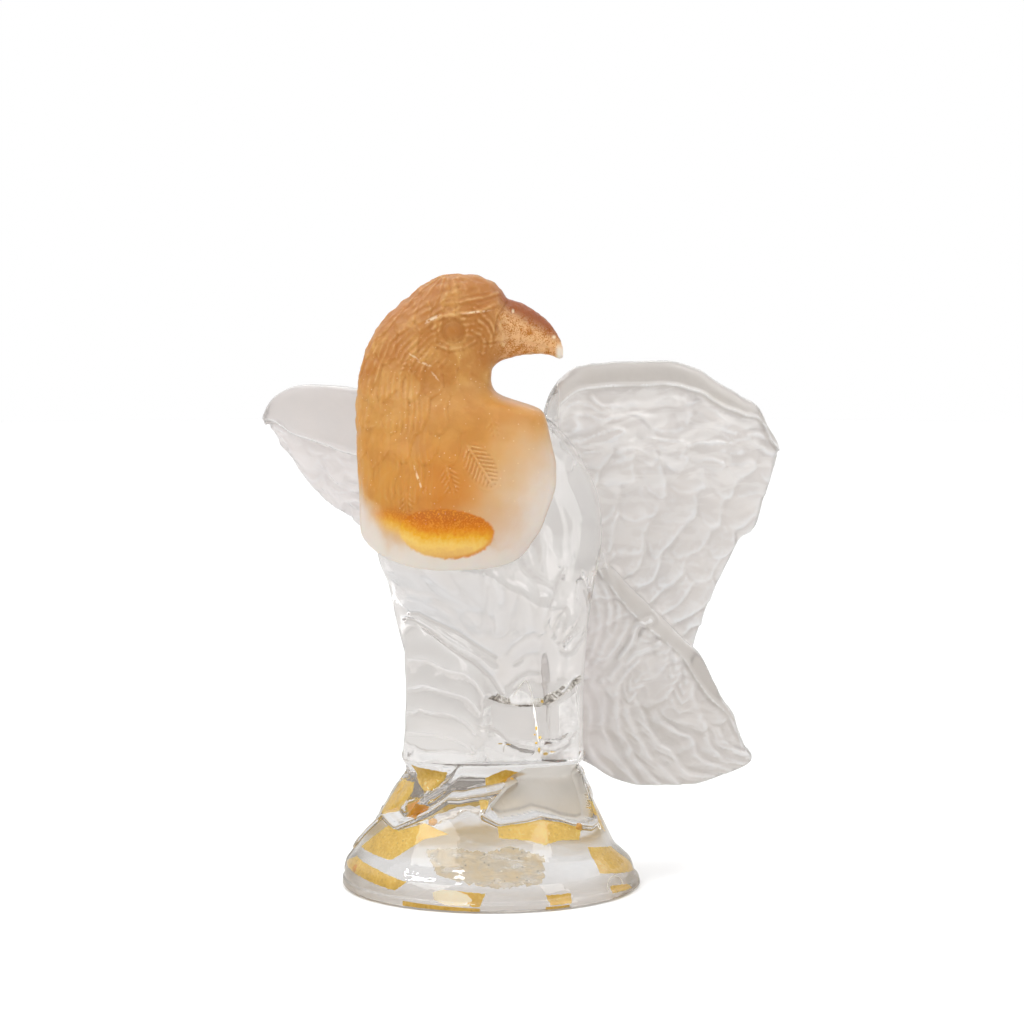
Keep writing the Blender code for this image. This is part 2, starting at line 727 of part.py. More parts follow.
def main():
    for thing in list(bpy.data.objects):
        bpy.data.objects.remove(thing)
    clear = material("clear_crystal", (0.93, 0.92, 0.90), 0.12, 1.0, 0.4)
    amber = material("amber_crystal", (0.80, 0.48, 0.22), 0.35, 0.6, 0.8)
    polished = material("polished_crystal", (0.95, 0.95, 0.95), 0.02, 1.0, 0.4)
    bust = amber_bust(amber)
    clear_bird(clear, bust)
    rock_base(polished)


main()
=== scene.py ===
"""The crystal eagle as it looks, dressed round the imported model: a clear cast bird, its amber head and
breast, and a flared rock base with gold leaf sealed in it. Front is -Y. The bird's tables are in its own
units, which are millimetres, with heights from the base's seat."""

import math
from collections import namedtuple

import bmesh
import bpy
import numpy as np
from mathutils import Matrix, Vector, noise


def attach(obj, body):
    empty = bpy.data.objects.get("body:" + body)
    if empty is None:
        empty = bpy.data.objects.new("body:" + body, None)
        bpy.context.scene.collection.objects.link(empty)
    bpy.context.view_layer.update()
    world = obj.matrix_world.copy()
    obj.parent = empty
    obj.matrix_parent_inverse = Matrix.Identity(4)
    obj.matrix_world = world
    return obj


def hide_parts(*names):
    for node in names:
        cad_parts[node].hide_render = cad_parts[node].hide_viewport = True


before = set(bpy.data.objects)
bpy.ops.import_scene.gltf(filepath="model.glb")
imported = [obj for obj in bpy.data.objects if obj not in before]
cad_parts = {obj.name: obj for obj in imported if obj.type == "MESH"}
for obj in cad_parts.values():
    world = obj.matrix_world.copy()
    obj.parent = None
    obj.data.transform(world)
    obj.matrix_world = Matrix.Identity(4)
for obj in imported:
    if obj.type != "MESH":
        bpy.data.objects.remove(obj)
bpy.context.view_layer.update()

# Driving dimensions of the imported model, in metres. U is one of the bird's units
BASE_DIAMETER = 0.150
BASE_HEIGHT = 0.066
FOOT_RIM_HEIGHT = 0.004
LEDGE_STEP = 0.0040
RIM_STEP = 0.0010
SEAT_MARGIN = 0.0010
SEAT_POWER = 2.6
LIP_RISE, LIP_DIP = 0.0013, 0.0009
ROCK_RIM_RISE = 0.0030
SKIRT_RIPPLE = 0.0005
U = 0.001

# Planes of the pocket that the amber bust sits in, in the bird's units
POCKET_BACK_Y = 8
POCKET_FLOOR_FRONT = (-59, 98.3)
POCKET_FLOOR_SLOPE = math.tan(math.radians(20))
# The feet sink this far into the seat, so that the joint looks bonded
FOOT_SINK = 0.15

# The floor lies this far under the base, so that the polished underside still mirrors
FLOOR_GAP = 0.0004
FLOOR_RADIUS = 4.0

# Mesh sizes: voxels in metres, the most triangles of a casting, points of a ring, and the base's grid
BIRD_VOXEL = 0.00090
BUST_VOXEL = 0.00060
POCKET_VOXEL = 0.0018
BIRD_FACES = 192000
BUST_FACES = 190000
RING_POINTS = 96
BASE_STEPS = 540
BASE_LEVELS = 150
# How far the melting rounds off an edge, and the gap of the glue line round the bust, in metres
BIRD_SOFTNESS = 0.0049
BUST_SOFTNESS = 0.0028
GLUE_LINE = 0.00045

# The clear torso: height, left, right, front and back, from the feet to the shoulders
TORSO_ROWS = [
    (-16, -44, 46, -27, 34), (0, -44, 46, -27, 34), (17, -43, 46, -26, 34), (37, -42, 46, -27, 35),
    (50, -43, 47, -30, 36), (67, -47, 49, -33, 37), (87, -50, 52, -34, 38), (101, -53.5, 55, -28, 39),
    (112, -57, 56, -22, 40), (128, -60, 54, -17, 40), (143, -61, 48, -12, 40), (158, -59, 38, -8, 38),
    (166, -56, 29, -5, 35), (172, -50, 18, -2, 31), (178, -38, 2, 2, 25),
]
# The swell of the belly, which carries the bust
BELLY_ROWS = [
    (38, -36, 42, -20, 20), (48, -42, 45, -28, 20), (58, -45, 47, -34, 20), (67, -47, 48, -39, 20),
    (78, -49, 44, -46, 20), (88, -51, 32, -52, 20), (98, -55, 18, -56, 20), (108, -57, 15, -55, 20),
    (120, -58, 14, -50, 20), (132, -54, 4, -40, 16),
]
LEFT_LEG_ROWS = [
    (-16, -44, -4, -35, 6), (0, -44, -4, -35, 6), (17, -43, -3, -35, 6), (34, -42.5, 0, -37, 6),
    (48, -43, -2, -39, 6), (60, -43, -8, -38, 4), (70, -40, -16, -34, 2),
]
RIGHT_LEG_ROWS = [
    (-16, 22, 46, -29, 6), (0, 22, 46, -29, 6), (17, 23, 46, -28.5, 6), (34, 23, 46, -29, 6),
    (52, 20, 47, -32, 6), (70, 18, 48, -35, 4), (86, 22, 46, -29, 2), (96, 26, 40, -16, 0),
]
# The tail fan: height, left, right, and the depth of its middle
TAIL_ROWS = [
    (112, 26, 50, 26), (102, 30, 54, 31), (94, 32, 59, 33), (83, 33, 68, 36), (73, 34, 78, 39),
    (62, 34, 89, 42), (51, 34, 100, 44), (43, 34, 108, 46.5), (30, 35, 114.5, 50), (19, 36, 120, 52.5),
    (11, 37, 126, 54.5), (4, 38, 128, 56), (-3, 39, 130, 58), (-8, 40, 133.5, 59), (-12, 44, 136.5, 60),
    (-15, 50, 136.5, 61), (-19, 56, 130, 61.5), (-23, 62, 119, 62.5), (-27, 74, 108, 63.5),
]
TAIL_THICKNESS = 11
TAIL_LEAN = 0.10
# Each wing by its span from the root: span, top, bottom
RIGHT_WING_COLUMNS = [
    (0, 172, 130), (3, 181, 114), (8, 187.5, 94), (17, 193.5, 78), (29, 195, 57), (39, 195.6, 41),
    (50, 195.7, 30), (60.5, 196, 24.5), (67, 195.6, 25), (76, 193, 33.5), (82, 191, 41.6),
    (87, 187.4, 57.6), (94, 183, 76), (101, 179.3, 91), (104.5, 176.7, 99), (108, 175.2, 103.6),
    (111.5, 173.6, 105), (115, 168.4, 109.7), (117.5, 162.7, 122), (120, 158.5, 130), (122, 156, 138),
    (123.5, 153, 145),
]
LEFT_WING_COLUMNS = [
    (0, 162, 98), (14, 172, 97), (28, 178, 99), (41, 180, 103), (53, 181.5, 108.5), (62, 182, 112),
    (73, 182.6, 116.5), (84, 182.6, 121.5), (94, 182, 129), (104, 179.6, 139), (111, 176.6, 147.5),
    (116, 173, 154), (119, 169, 159.5), (121.5, 164, 162),
]
WING_THICK_TOP = 14
WING_THICK_BOTTOM = 8
WING_TRAIL = 0.11
# The amber neck and breast: height, left, right, front and back
NECK_ROWS = [
    (222, -44, -6, -30, 2), (213, -56.7, 0, -33, 4), (207, -59.7, 3, -34, 5), (200.5, -62.7, 2, -35, 6),
    (194.5, -64.2, 0.5, -36, 6.5), (188, -65.5, 0, -37, 7), (184, -65.8, 1, -38.5, 7.5),
    (181, -66, 4, -40, 8), (178, -66.2, 12, -41.5, 8.5), (175.5, -66.3, 20, -43, 9),
    (173, -66.3, 25.5, -44, 10), (168.5, -66.3, 27.4, -45.5, 11), (161, -66.3, 29, -47.5, 12),
    (153.5, -66.2, 30.8, -50, 13), (146, -66, 32.2, -52, 13), (138.5, -65.4, 32.2, -54, 13),
    (131, -65, 30.4, -56, 13), (123, -65, 27.4, -57.5, 13), (115, -64.8, 24.4, -58.5, 12),
    (109, -64.6, 20, -59, 10), (101, -64, 16.3, -59, 8), (90, -62, 10, -58, 4), (80, -60, 4, -56, 0),
]
# How far the left side of the neck and breast falls back
NECK_LEFT_RECEDE = 10
# The head and beak: distance along X, top, bottom and half width
HEAD_COLUMNS = [
    (-60, 205, 180, 11), (-52.3, 218.8, 178, 15), (-44.8, 225.6, 178, 17), (-35, 233.4, 181, 18.5),
    (-27.6, 238.2, 183, 19), (-20.2, 240.2, 186, 19.5), (-12.8, 240.2, 188, 19.5), (-6.4, 239.7, 191, 18.5),
    (-0.5, 237.5, 193, 17), (3, 235, 196.5, 15), (5.9, 231.5, 198, 13), (8.4, 228, 198.8, 11.5),
    (11.3, 227.4, 199.6, 10.5), (14.3, 226.6, 200.3, 9.6), (18.2, 224.6, 200.8, 8.6), (22.2, 222, 201, 7.4),
    (26.1, 219, 201, 6.2), (29.1, 216.2, 200.6, 5), (31.6, 213, 199.2, 4), (33.8, 209, 198.4, 3),
    (35.6, 204.5, 199.2, 1.8),
]
HEAD_Y = -14

# Width of each wing's smooth band by its span, and the plain width that the rows are laid out from
WING_BAND = 13
RIGHT_BANDS = [(0, 13), (60, 13.5), (90, 13), (110, 9), (124, 6)]
LEFT_BANDS = [(0, 37), (57, 34), (75, 31), (97, 26), (110, 16), (122, 5)]
# Each wing: its columns, its root as distances along X and Y, the way it sweeps, and its band
Wing = namedtuple("Wing", "columns root sweep band")
RIGHT_WING = Wing(RIGHT_WING_COLUMNS, (27, 21), math.radians(14), RIGHT_BANDS)
LEFT_WING = Wing(LEFT_WING_COLUMNS, (-30, 1), math.radians(136.5), LEFT_BANDS)
# Where each row of feathers starts below the leading edge, and how wide its feathers are
WING_EDGES = [10, 31, 42, 55, 67, 83, 100, 117, 138, 170]
WING_FEATHER_WIDTHS = [40, 31, 16, 19, 20, 17, 15, 13, 12]
WING_ROW_FLATNESS = 0.6
BARB_STRIDE = 3.4
WING_RELIEF = 2.4
# The rows are nearly flat above the first zone and carry barbs below the second
PLUMED_BELOW = (40, 54)
BARBED_BELOW = (78, 96)
# Where the satin sets in, as distances from the middle: of both wings, then of the tail, and the tail's top
WING_START = (40, 50)
TAIL_START = (47, 52)
TAIL_TOP = (86, 100)
# The tail's rows start at distances from its pivot, and its feathers are as many degrees wide
TAIL_PIVOT = (114, 79)
TAIL_EDGES = [0, 46, 76, 150]
TAIL_FEATHER_ANGLES = [12, 13, 9]
TAIL_RELIEF = 2.0
# Width of the tail's smooth upper band by height
TAIL_BANDS = [(-6, 1), (9, 4.5), (32, 10), (50, 12), (63, 14), (80, 11), (100, 7)]
# Rows of feathers down the back and the nape
BACK_EDGES = [0, 24, 42, 60, 80, 102, 126]
BACK_TOP = 190
BACK_FEATHER_WIDTH = 17
BACK_RELIEF = 0.9
NAPE_EDGES = [-4, 12, 28, 44, 60, 76, 92, 110, 130]
NAPE_TOP = 240
NAPE_FEATHER_WIDTH = 15
NAPE_RELIEF = 0.55

# Creases of the belly and legs are cut only in front of this depth
BELLY_BACK = -10
# Folds and rims on the bird's front, as lines of distance along X and height
THIGH_RIM = [(-40, 73.8), (-36, 74.3), (-28, 70.3), (-16.6, 65), (-8, 59), (-3.4, 56), (2, 52.6)]
THIGH_FOLD = [(-42.5, 70.3), (-37.6, 70.8), (-28, 65), (-20.5, 59), (-8, 50.6), (0, 41.7), (5, 33)]
THIGH_SWELL = [(-36, 72), (-22, 63), (-8, 54), (1, 46)]
LEG_SCALLOPS = [
    [(-40, 51), (-37.2, 51.8), (-31.4, 51.8), (-26, 49.3), (-20.6, 46.9), (-14.2, 45.4), (-7.8, 39.9),
     (-3.9, 33)],
    [(-42, 36), (-37.8, 37.5), (-33.4, 39), (-26, 37.5), (-20.6, 36), (-12.7, 33), (-8.8, 29), (-6, 24)],
    [(-42, 24), (-37.8, 25.1), (-34.9, 27.1), (-28.5, 25.6), (-20.6, 25.1), (-16.7, 23.1), (-11.3, 19.1),
     (-8, 14)],
    [(-42, 13), (-39.3, 14.7), (-33.9, 15.1), (-28.5, 14.7), (-20, 13), (-12, 9), (-9, 5)],
]
BELLY_FOLDS = [
    [(7.9, 54), (10.8, 58), (17.2, 62.9), (21.2, 64.4), (24.1, 62.9)],
    [(12, 49), (17, 53), (23, 54)],
    [(8.4, 37.8), (13.3, 42.8), (18.7, 45.3), (23.7, 44.3)],
    [(12, 36), (16, 39), (20, 40), (24, 38)],
    [(26.9, 68), (27.5, 71.5), (30.4, 80.8), (34.4, 91.2), (36.8, 96.1)],
    [(31.4, 63.6), (31, 66.5), (32.9, 72.9), (36.8, 76.4), (37.3, 72.4), (35.4, 66.5), (33.4, 60.6)],
]
BROAD_FOLDS = [
    [(-30, 97), (-26, 92), (-16, 82), (-5, 69)],
    [(-41, 82), (-25, 78), (-11, 70)],
    [(2, 95), (3, 82), (3, 69)],
    [(16, 112), (18, 92), (19, 69)],
    [(24, 112), (27, 98), (29, 86)],
]
BELLY_CREASE = [(37, 57), (35.5, 50), (34.5, 42)]
GLINT_FOLD = [(48.6, 75.5), (47.1, 70.1), (43.7, 64.7), (39.3, 60.7), (37.5, 58)]
FLANK_FOLDS = [
    [(55.2, 92), (55.2, 86.3), (59.3, 74.1), (60.8, 66), (59.3, 54.8), (54.3, 44.6), (51, 36)],
    [(52, 80), (54.2, 70.1), (55.3, 60.9), (53.8, 53.8), (49.5, 43.1)],
    [(58, 90), (62, 80), (65, 70), (64, 60), (59, 50), (55, 42)],
]
SHOULDER_FOLDS = [
    [(31, 150), (29, 138), (32, 124), (38, 112), (40, 100)],
    [(36, 146), (38, 134), (44, 124), (52, 118), (58, 116)],
    [(34, 128), (36, 112), (34, 98), (30, 86)],
    [(44, 112), (45, 98), (42, 84)],
]
TAIL_FOLDS = [
    [(81, 62), (74.6, 60.3), (71, 50.4), (65.4, 40.6), (56.7, 30.2)],
    [(86, 50), (81.3, 46.8), (73.1, 44.7), (66.5, 38.5), (60.8, 31.2)],
]
BOWL_RIM = [(-6, 16.6), (1.9, 15.1), (8.4, 9.6), (14.8, 6.6), (21.8, 5.1), (31.7, 5.6), (38.7, 9.6),
            (41.6, 13.6)]
CRESCENT = [(-2, 31.7), (6.9, 29), (14.3, 28), (24.7, 28.5), (31.6, 31), (38, 36.5), (42, 41)]
CRESCENT_STEP = 2.0

# Carving of the head and neck
EYE = (-18.4, 212.5)
EYE_RADIUS = 4.6
BROW_LINE = [(-24, 220), (-15, 221.7), (-7.7, 221.7), (-2.8, 223.7), (3, 226)]
CERE_LINE = [(9, 228), (4, 220), (2, 210)]
MOUTH_LINE = [(-3, 206.5), (8, 207.5), (20, 206.5), (31, 203)]
NOSTRIL = (11, 222)
# The nape's long strands run beside this line, and are this far apart
NAPE_LINE = [(-12, 240), (-28, 237), (-45, 225), (-57, 212), (-63, 200), (-66, 184), (-66.4, 160),
             (-66, 130)]
STRAND_PITCH = 2.9
STRAND_REACH = (26, 46)
STRAND_HEIGHTS = (116, 140)
# Single engraved feathers: middle, half length, half width, degrees from straight down, and strength
BARBED_FEATHERS = [
    (-41.0, 194.5, 6, 3.5, -24, 0.40), (-31.0, 201.5, 6, 3.5, -30, 0.20), (-5.0, 148.5, 13, 7.5, 33, 0.80),
    (-19.5, 141.5, 9, 5, 16, 0.45), (-40.5, 130.0, 6, 4, 4, 0.40), (1.5, 166.5, 6, 3.5, 12, 0.35),
    (-8.6, 167.2, 6, 4, 22, 0.10), (-50.0, 172.0, 8, 4, 6, 0.08),
]
BARB_PITCH = 2.5
# Fine folds of the face, round the eye and towards the beak
FACE_LINES = [
    [(-8, 224), (-4, 221), (0, 217), (2, 212)],
    [(-6, 218), (-2, 215), (0, 211), (0, 206)],
    [(-9, 213), (-5, 211), (-3, 207), (-4, 202)],
    [(-26, 206), (-20, 204), (-13, 205), (-8, 208)],
    [(-28, 214), (-26, 219), (-20, 221), (-13, 219)],
    [(-22, 226), (-12, 228), (-4, 229), (3, 231)],
    [(4, 216), (6, 211), (6, 206)],
]

# The base's flare, from its underside to its top: share of its height, then of its radius at left and right
FLARE = [
    (0.00, 0.985, 0.985), (0.02, 1.000, 1.000), (0.09, 1.000, 0.975), (0.18, 0.985, 0.945),
    (0.23, 0.955, 0.900), (0.30, 0.915, 0.835), (0.40, 0.872, 0.790), (0.50, 0.832, 0.750),
    (0.63, 0.770, 0.695), (0.77, 0.690, 0.640), (0.88, 0.625, 0.612), (1.00, 0.595, 0.610),
]
# The foot's profile below the skirt, as height and inset, and the rings of the top as shares of its edge
FOOT_PROFILE = [(0.0, RIM_STEP), (0.0004, 0.0004), (0.0012, 0.0), (FOOT_RIM_HEIGHT - 0.0006, 0.0)]
TOP_SHARES = np.arange(0.985, 0.70, -0.018)
# The broken edge between skirt and rock: degrees round the base, and height as a share of the base's
LEDGE = [
    (-180, 0.30), (-177, 0.33), (-156, 0.61), (-149, 0.58), (-142, 0.55), (-134, 0.61), (-125, 0.68),
    (-117, 0.77), (-110, 0.77), (-102, 0.79), (-94, 0.80), (-84, 0.82), (-70, 0.87), (-78, 0.83),
    (-85, 0.77), (-91, 0.71), (-93, 0.66), (-85, 0.61), (-69, 0.63), (-61, 0.65), (-49, 0.61), (-42, 0.57),
    (-29, 0.53), (-21, 0.54), (-17, 0.62), (-14, 0.71), (-14, 0.84), (-16, 0.93), (-8, 0.90), (4, 0.74),
    (18, 0.62), (45, 0.72), (80, 0.58), (110, 0.68), (145, 0.50), (165, 0.36), (180, 0.30),
]
# The facet at the front right of the rock, matt and painted darker as shade: degrees round the base and
# millimetres above its underside
FACET = [
    (-91, 46.5), (-85, 41.0), (-69, 42.4), (-61, 43.7), (-49, 41.0), (-42, 38.4), (-29, 35.8), (-21, 36.4),
    (-17, 41.7), (-14, 47.6), (-14, 56), (-17, 61.5), (-22, 63.5), (-44, 64.2), (-64, 63.8), (-72, 59.5),
    (-80, 55.5), (-87, 51),
]
# The rock is dished between these edges, which fade in or out, and deepest half way along the span in degrees
DISH_START, DISH_END, DISH_SPAN = (-122, -112), (-16, -8), 98
# The rim that runs from the seat down to the ledge at the front left
ROCK_RIM = [(-113, 0.99), (-116, 0.95), (-121, 0.87), (-128, 0.80), (-133, 0.76), (-136, 0.69),
            (-140, 0.58)]
# Millimetres of skin for each degree round the base, used to measure lengths on it
SKIN_PER_DEGREE = 1.05
# Size of the rock's lumps in millimetres
LUMP_SIZE = 9

# Gold leaf: outlines in degrees round the base and millimetres above its underside
GOLD_LEAVES = {
    "gold_leaf_left": [(-166, 21), (-148, 35), (-140, 33.4), (-126, 38), (-112, 34), (-124, 31),
                       (-138, 19.7)],
    "gold_leaf_front_right": [
        (-86, 38), (-69, 39.3), (-61, 40), (-49, 38), (-36, 34), (-40, 28.3), (-52, 29.7), (-62, 28.4),
        (-71, 31), (-86, 32.7),
    ],
    "gold_leaf_low_left": [(-178, 11), (-165, 16.4), (-143, 14.7), (-125, 11.7), (-130, 7.2), (-146, 8.9)],
    "gold_leaf_low_front": [(-104, 9.6), (-92, 8.6), (-94, 2.9), (-97, 2.6)],
    "gold_leaf_low_right": [(-68, 7), (-57, 6.6), (-58, 2.2), (-67, 2.4)],
    "gold_leaf_right": [(-36, 24.3), (-11, 20.3), (-7, 14.4), (-2, 6.4), (-39, 12.7), (-36, 17.3)],
    "gold_leaf_high_left": [(-179, 53), (-150, 54.5), (-147, 50.4), (-151, 41), (-168, 32.6), (-173, 41),
                            (-171, 50.4)],
    "gold_leaf_rock_left": [(-154, 63.5), (-124, 61.5), (-131, 52.4), (-139, 51.3), (-150, 57)],
    "gold_leaf_rock_front": [(-95, 58.7), (-78, 63.4), (-60, 60.7), (-69, 57.9), (-81, 56), (-95, 54.7)],
    "gold_leaf_square": [(-98, 49.6), (-91, 49.2), (-93, 45.5), (-96, 45)],
    "gold_leaf_right_edge": [(-14, 44.2), (-8, 40.2), (-10, 27), (-15, 30.6), (-16, 38.2)],
    "gold_leaf_bubble": [(-35, 6.4), (-22, 4.4), (-20, 2.2), (-36, 3)],
    "gold_leaf_back": [(70, 12), (98, 13), (112, 10), (106, 4), (84, 5), (72, 4)],
    "gold_leaf_back_left": [(134, 22), (158, 19), (156, 9), (138, 11)],
    "gold_leaf_back_right": [(22, 20), (42, 24), (44, 13), (26, 9)],
}
GOLD_RIM_STRIPS = {
    "gold_rim_front": [(-125, 3.2), (-94, 2.2), (-94, 0.5), (-125, 0.9)],
    "gold_rim_right": [(-69, 1.9), (-59, 1.9), (-59, 0.5), (-69, 0.5)],
}
WORN_LEAF = [(-122, 26.6), (-104, 27.8), (-92, 26.6), (-81, 28.5), (-64, 23.6), (-66, 17), (-69, 12.1),
             (-88, 10.8), (-100, 13), (-113, 16)]
PALE_DISC = [(-113, 8.4), (-109, 9.9), (-104, 9.9), (-99, 8.2), (-97, 5.6), (-98, 3.0), (-107, 3.0),
             (-112, 5)]
ORANGE_CHIP = [(-146, 44.5), (-139, 47.1), (-130, 44.7), (-131, 40), (-141, 39.5)]
# Amber drops in the base: angle, height and radius, then how deep they lie and half their thickness
AMBER_DROPS = [(-160, 12.6, 2.7), (-122, 39.6, 2.3), (-38, 33.6, 2.4), (-9, 33, 1.6), (70, 40, 2.0)]
DROP_DEPTH, DROP_THICKNESS = 1.7, 1.2
DROP_SEGMENTS = (28, 18)
# What is sealed in the clear glass between the legs, as distance along X and height in the bird's units
# The dark crescent leaf is partly dark specks in the glass and partly painted shade of the gap under the
# crescent
CRESCENT_LEAF = [
    (-2, 31.7), (6.9, 28.3), (14.3, 26.6), (24.7, 26.4), (31.6, 30.2), (40, 36.0), (43, 39.2), (43, 42.2),
    (39.5, 42.7), (36.6, 39.2), (32.6, 35.2), (26.7, 31.2), (14.3, 30.6), (6, 31.6), (-0.5, 33.2),
]
# White veils: partly milky glass, partly painted light that lightens the glass where facets and the crescent
# catch light
MILKY_VEILS = {
    "milky_veil_left": [(-6, 26), (-0.6, 27), (0.4, 17.9), (-4.5, 17.9)],
    "milky_veil_right": [(33.6, 27.8), (41.5, 33.8), (42.5, 15.9), (34.1, 10.9)],
    "milky_veil_foot": [(19, 0.3), (24, 6.5), (31, 7.5), (38, 11), (41.8, 14), (43, 0.3)],
    "milky_veil_crescent": [(8.5, 32), (13, 35.5), (18, 33.5), (20.5, 28.5), (15, 28), (10, 29.5)],
}
MILKY_THREAD = [
    (10.6, 31.8), (13.4, 35.6), (15.6, 39.2), (16.9, 40.2), (18.2, 38.2), (19.6, 34), (20.9, 27.8),
    (21.9, 21), (22.8, 14.6), (23.4, 9),
]
THREAD_RADIUS = 0.6
THREAD_POINTS, THREAD_SIDES = 60, 12
# The sheet on which they lie inside the bird, as distance along Y, and how far in front of it the thread runs
SEALED_DEPTH = -20
THREAD_DEPTH = 2.4
# Gold flecks: distance along X, height, half width and half height, then how far they lie in front of the
# sealed sheet and half their thickness
GOLD_FLECKS = [
    (22.4, 16.0, 0.5, 0.9), (24.2, 11.4, 0.7, 0.6), (22.4, 8.6, 0.6, 0.5), (23.8, 5.0, 0.6, 1.3),
    (27.7, 3.0, 1.2, 0.5), (31.0, 3.8, 1.0, 0.5), (4.4, 8.1, 1.1, 0.3), (8.4, 7.6, 1.2, 0.3),
    (25.3, 29.6, 0.7, 0.9), (21.6, 12.8, 0.4, 0.4),
]
FLECK_DEPTH, FLECK_THICKNESS = 3, 0.4
# A bubble near the foot rim: angle, height, half width and half height, its rim's depth and thickness
BUBBLE = (-31, 6.4, 7.5, 4.2)
BUBBLE_DEPTH, BUBBLE_LINE = 1.5, 0.22
# A small ring in the glass of the upper facet: angle, height and radius, its depth and its thickness
SMALL_RING = (-18, 32, 1.7)
RING_DEPTH, RING_LINE = 0.05, 0.16
LINE_TURNS, LINE_SIDES = 40, 10
# Painted glints in the amber: distance along X, height, half width and height, tilt in degrees, strength
PAINTED_GLINTS = [
    (-29, 218.6, 6.0, 1.3, 28, 0.8), (-7, 222.2, 9.0, 0.8, 6, 0.8), (-35, 142, 8.5, 0.8, -70, 0.8),
    (-32, 197, 5.0, 0.9, -20, 0.7), (-38, 201, 5.0, 0.8, -35, 0.6), (-27, 191, 4.0, 0.7, -50, 0.6),
    (10.8, 222.4, 1.0, 1.5, 0, 0.9), (31, 209.5, 1.4, 1.2, 0, 0.95),
]
# How deep the gold leaf lies under the base's skin, how thick it is, the grid that lets it bend, and how far
# it stays from the base's foot and top
LEAF_DEPTH = 1.1
LEAF_THICKNESS = 0.12
LEAF_GRID = (1.6, 1.4)
LEAF_MARGIN = 0.2
# Edges sharper than this stay crisp in every piece
CRISP_ANGLE = math.radians(48)
# What the glass sees level with it, above it, behind the camera and below it, and what its gloss mirrors
STUDIO_TONE = (0.875, 0.855, 0.838)
CEILING_TONE = (0.84, 0.85, 0.865)
BEHIND_TONE = (0.72, 0.71, 0.70)
FLOOR_TONE = (0.53, 0.516, 0.502)
MIRRORED_LOW = (0.68, 0.67, 0.66)
MIRRORED_HIGH = (1.35, 1.36, 1.38)
# The grey light that falls on everything, and the white that the camera sees
FILL_GREY = (0.68, 0.68, 0.68)
BACKDROP_WHITE = (1.0, 1.0, 1.0)
# Lights: place, height of the point that they face, width, height and power
OVERHEAD = ((0, 0, 5), 0, 12, 12, 385)
SOFTBOXES = {
    "left_softbox": ((-1.1, -0.9, 1.2), 0.15, 0.8, 0.8, 7),
    "right_softbox": ((1.2, -0.8, 0.9), 0.15, 0.7, 0.9, 5),
    "band_softbox": ((-0.70, -0.09, 1.03), 0.03, 0.06, 0.30, 1.6),
    "top_softbox": ((-0.34, -0.38, 1.14), 0.05, 0.14, 0.14, 1.4),
}
# The camera's lens and sensor in millimetres, its tilt in degrees, the point it looks at and how far off
# it stands
CAMERA_LENS, CAMERA_SENSOR = 112.5, 36
CAMERA_TILT = 5
CAMERA_AIM = (0.01035, 0, 0.18757)
CAMERA_DISTANCE = 1.6


def pchip(knots, values, at):
    """A curve through the knots that never overshoots them."""
    x, y = np.asarray(knots, float), np.asarray(values, float)
    step = np.diff(x)
    slope = np.diff(y) / step
    tangent = np.empty_like(y)
    tangent[0], tangent[-1] = slope[0], slope[-1]
    product = slope[:-1] * slope[1:]
    total = np.where(product > 0, slope[:-1] + slope[1:], 1.0)
    tangent[1:-1] = np.where(product > 0, 2 * product / total, 0.0)
    at = np.clip(at, x[0], x[-1])
    i = np.clip(np.searchsorted(x, at, side="right") - 1, 0, len(x) - 2)
    t = (at - x[i]) / step[i]
    rise = (2 * t**3 - 3 * t**2 + 1) * y[i] + (3 * t**2 - 2 * t**3) * y[i + 1]
    bend = (t**3 - 2 * t**2 + t) * tangent[i] + (t**3 - t**2) * tangent[i + 1]
    return rise + bend * step[i]


def smooth_rows(rows, spacing):
    """The rows of a table, filled in to about that spacing along their first column."""
    rows = np.array(sorted(rows), float)
    count = max(2, int(round((rows[-1, 0] - rows[0, 0]) / spacing)) + 1)
    at = np.linspace(rows[0, 0], rows[-1, 0], count)
    return [[a, *(float(pchip(rows[:, 0], rows[:, c], a)) for c in range(1, rows.shape[1]))] for a in at]


def oval(power):
    """Cosine and sine round a superellipse of that power, for each point of a ring."""
    turn = np.linspace(0, 2 * math.pi, RING_POINTS, endpoint=False)
    c, s = np.cos(turn), np.sin(turn)
    return np.sign(c) * np.abs(c) ** (2 / power), np.sign(s) * np.abs(s) ** (2 / power)


def row_ring(row, power=2.3):
    """A level ring from a row of height, left, right, front and back."""
    z, left, right, front, back = row
    c, s = oval(power)
    x = (left + right) / 2 + (right - left) / 2 * c
    y = (front + back) / 2 + (back - front) / 2 * s
    return np.column_stack([x, y, np.full_like(x, z)]) * U


def neck_ring(row):
    """A level ring of the neck and breast: round in front, squarer where it sits in the clear bird."""
    z, left, right, front, back = row
    round_c, round_s = oval(2.0)
    full_c, full_s = oval(3.0)
    back_c, back_s = oval(4.0)
    before = np.where(round_c > 0, (full_c, full_s), (round_c, round_s))
    c, s = np.where(round_s < 0, before, (back_c, back_s))
    x = (left + right) / 2 + (right - left) / 2 * c
    fall = NECK_LEFT_RECEDE * np.clip(-c, 0, 1) ** 2 * np.clip((150 - z) / 40, 0, 1)
    y = (front + back) / 2 + (back - front) / 2 * s + fall
    return np.column_stack([x, y, np.full_like(x, z)]) * U


def tail_ring(row):
    """A thin level ring of the tail, whose right side trails further back."""
    z, left, right, depth = row
    c, s = oval(3.2)
    x = (left + right) / 2 + (right - left) / 2 * c
    y = depth + TAIL_LEAN * (x - (left + right) / 2) + TAIL_THICKNESS / 2 * s
    return np.column_stack([x, y, np.full_like(x, z)]) * U


def wing_frame(sweep):
    """Level unit vectors along a wing and out of its back."""
    along = np.array([math.cos(sweep), math.sin(sweep)])
    side = math.copysign(1, along[0])
    return along, np.array([-along[1] * side, along[0] * side])


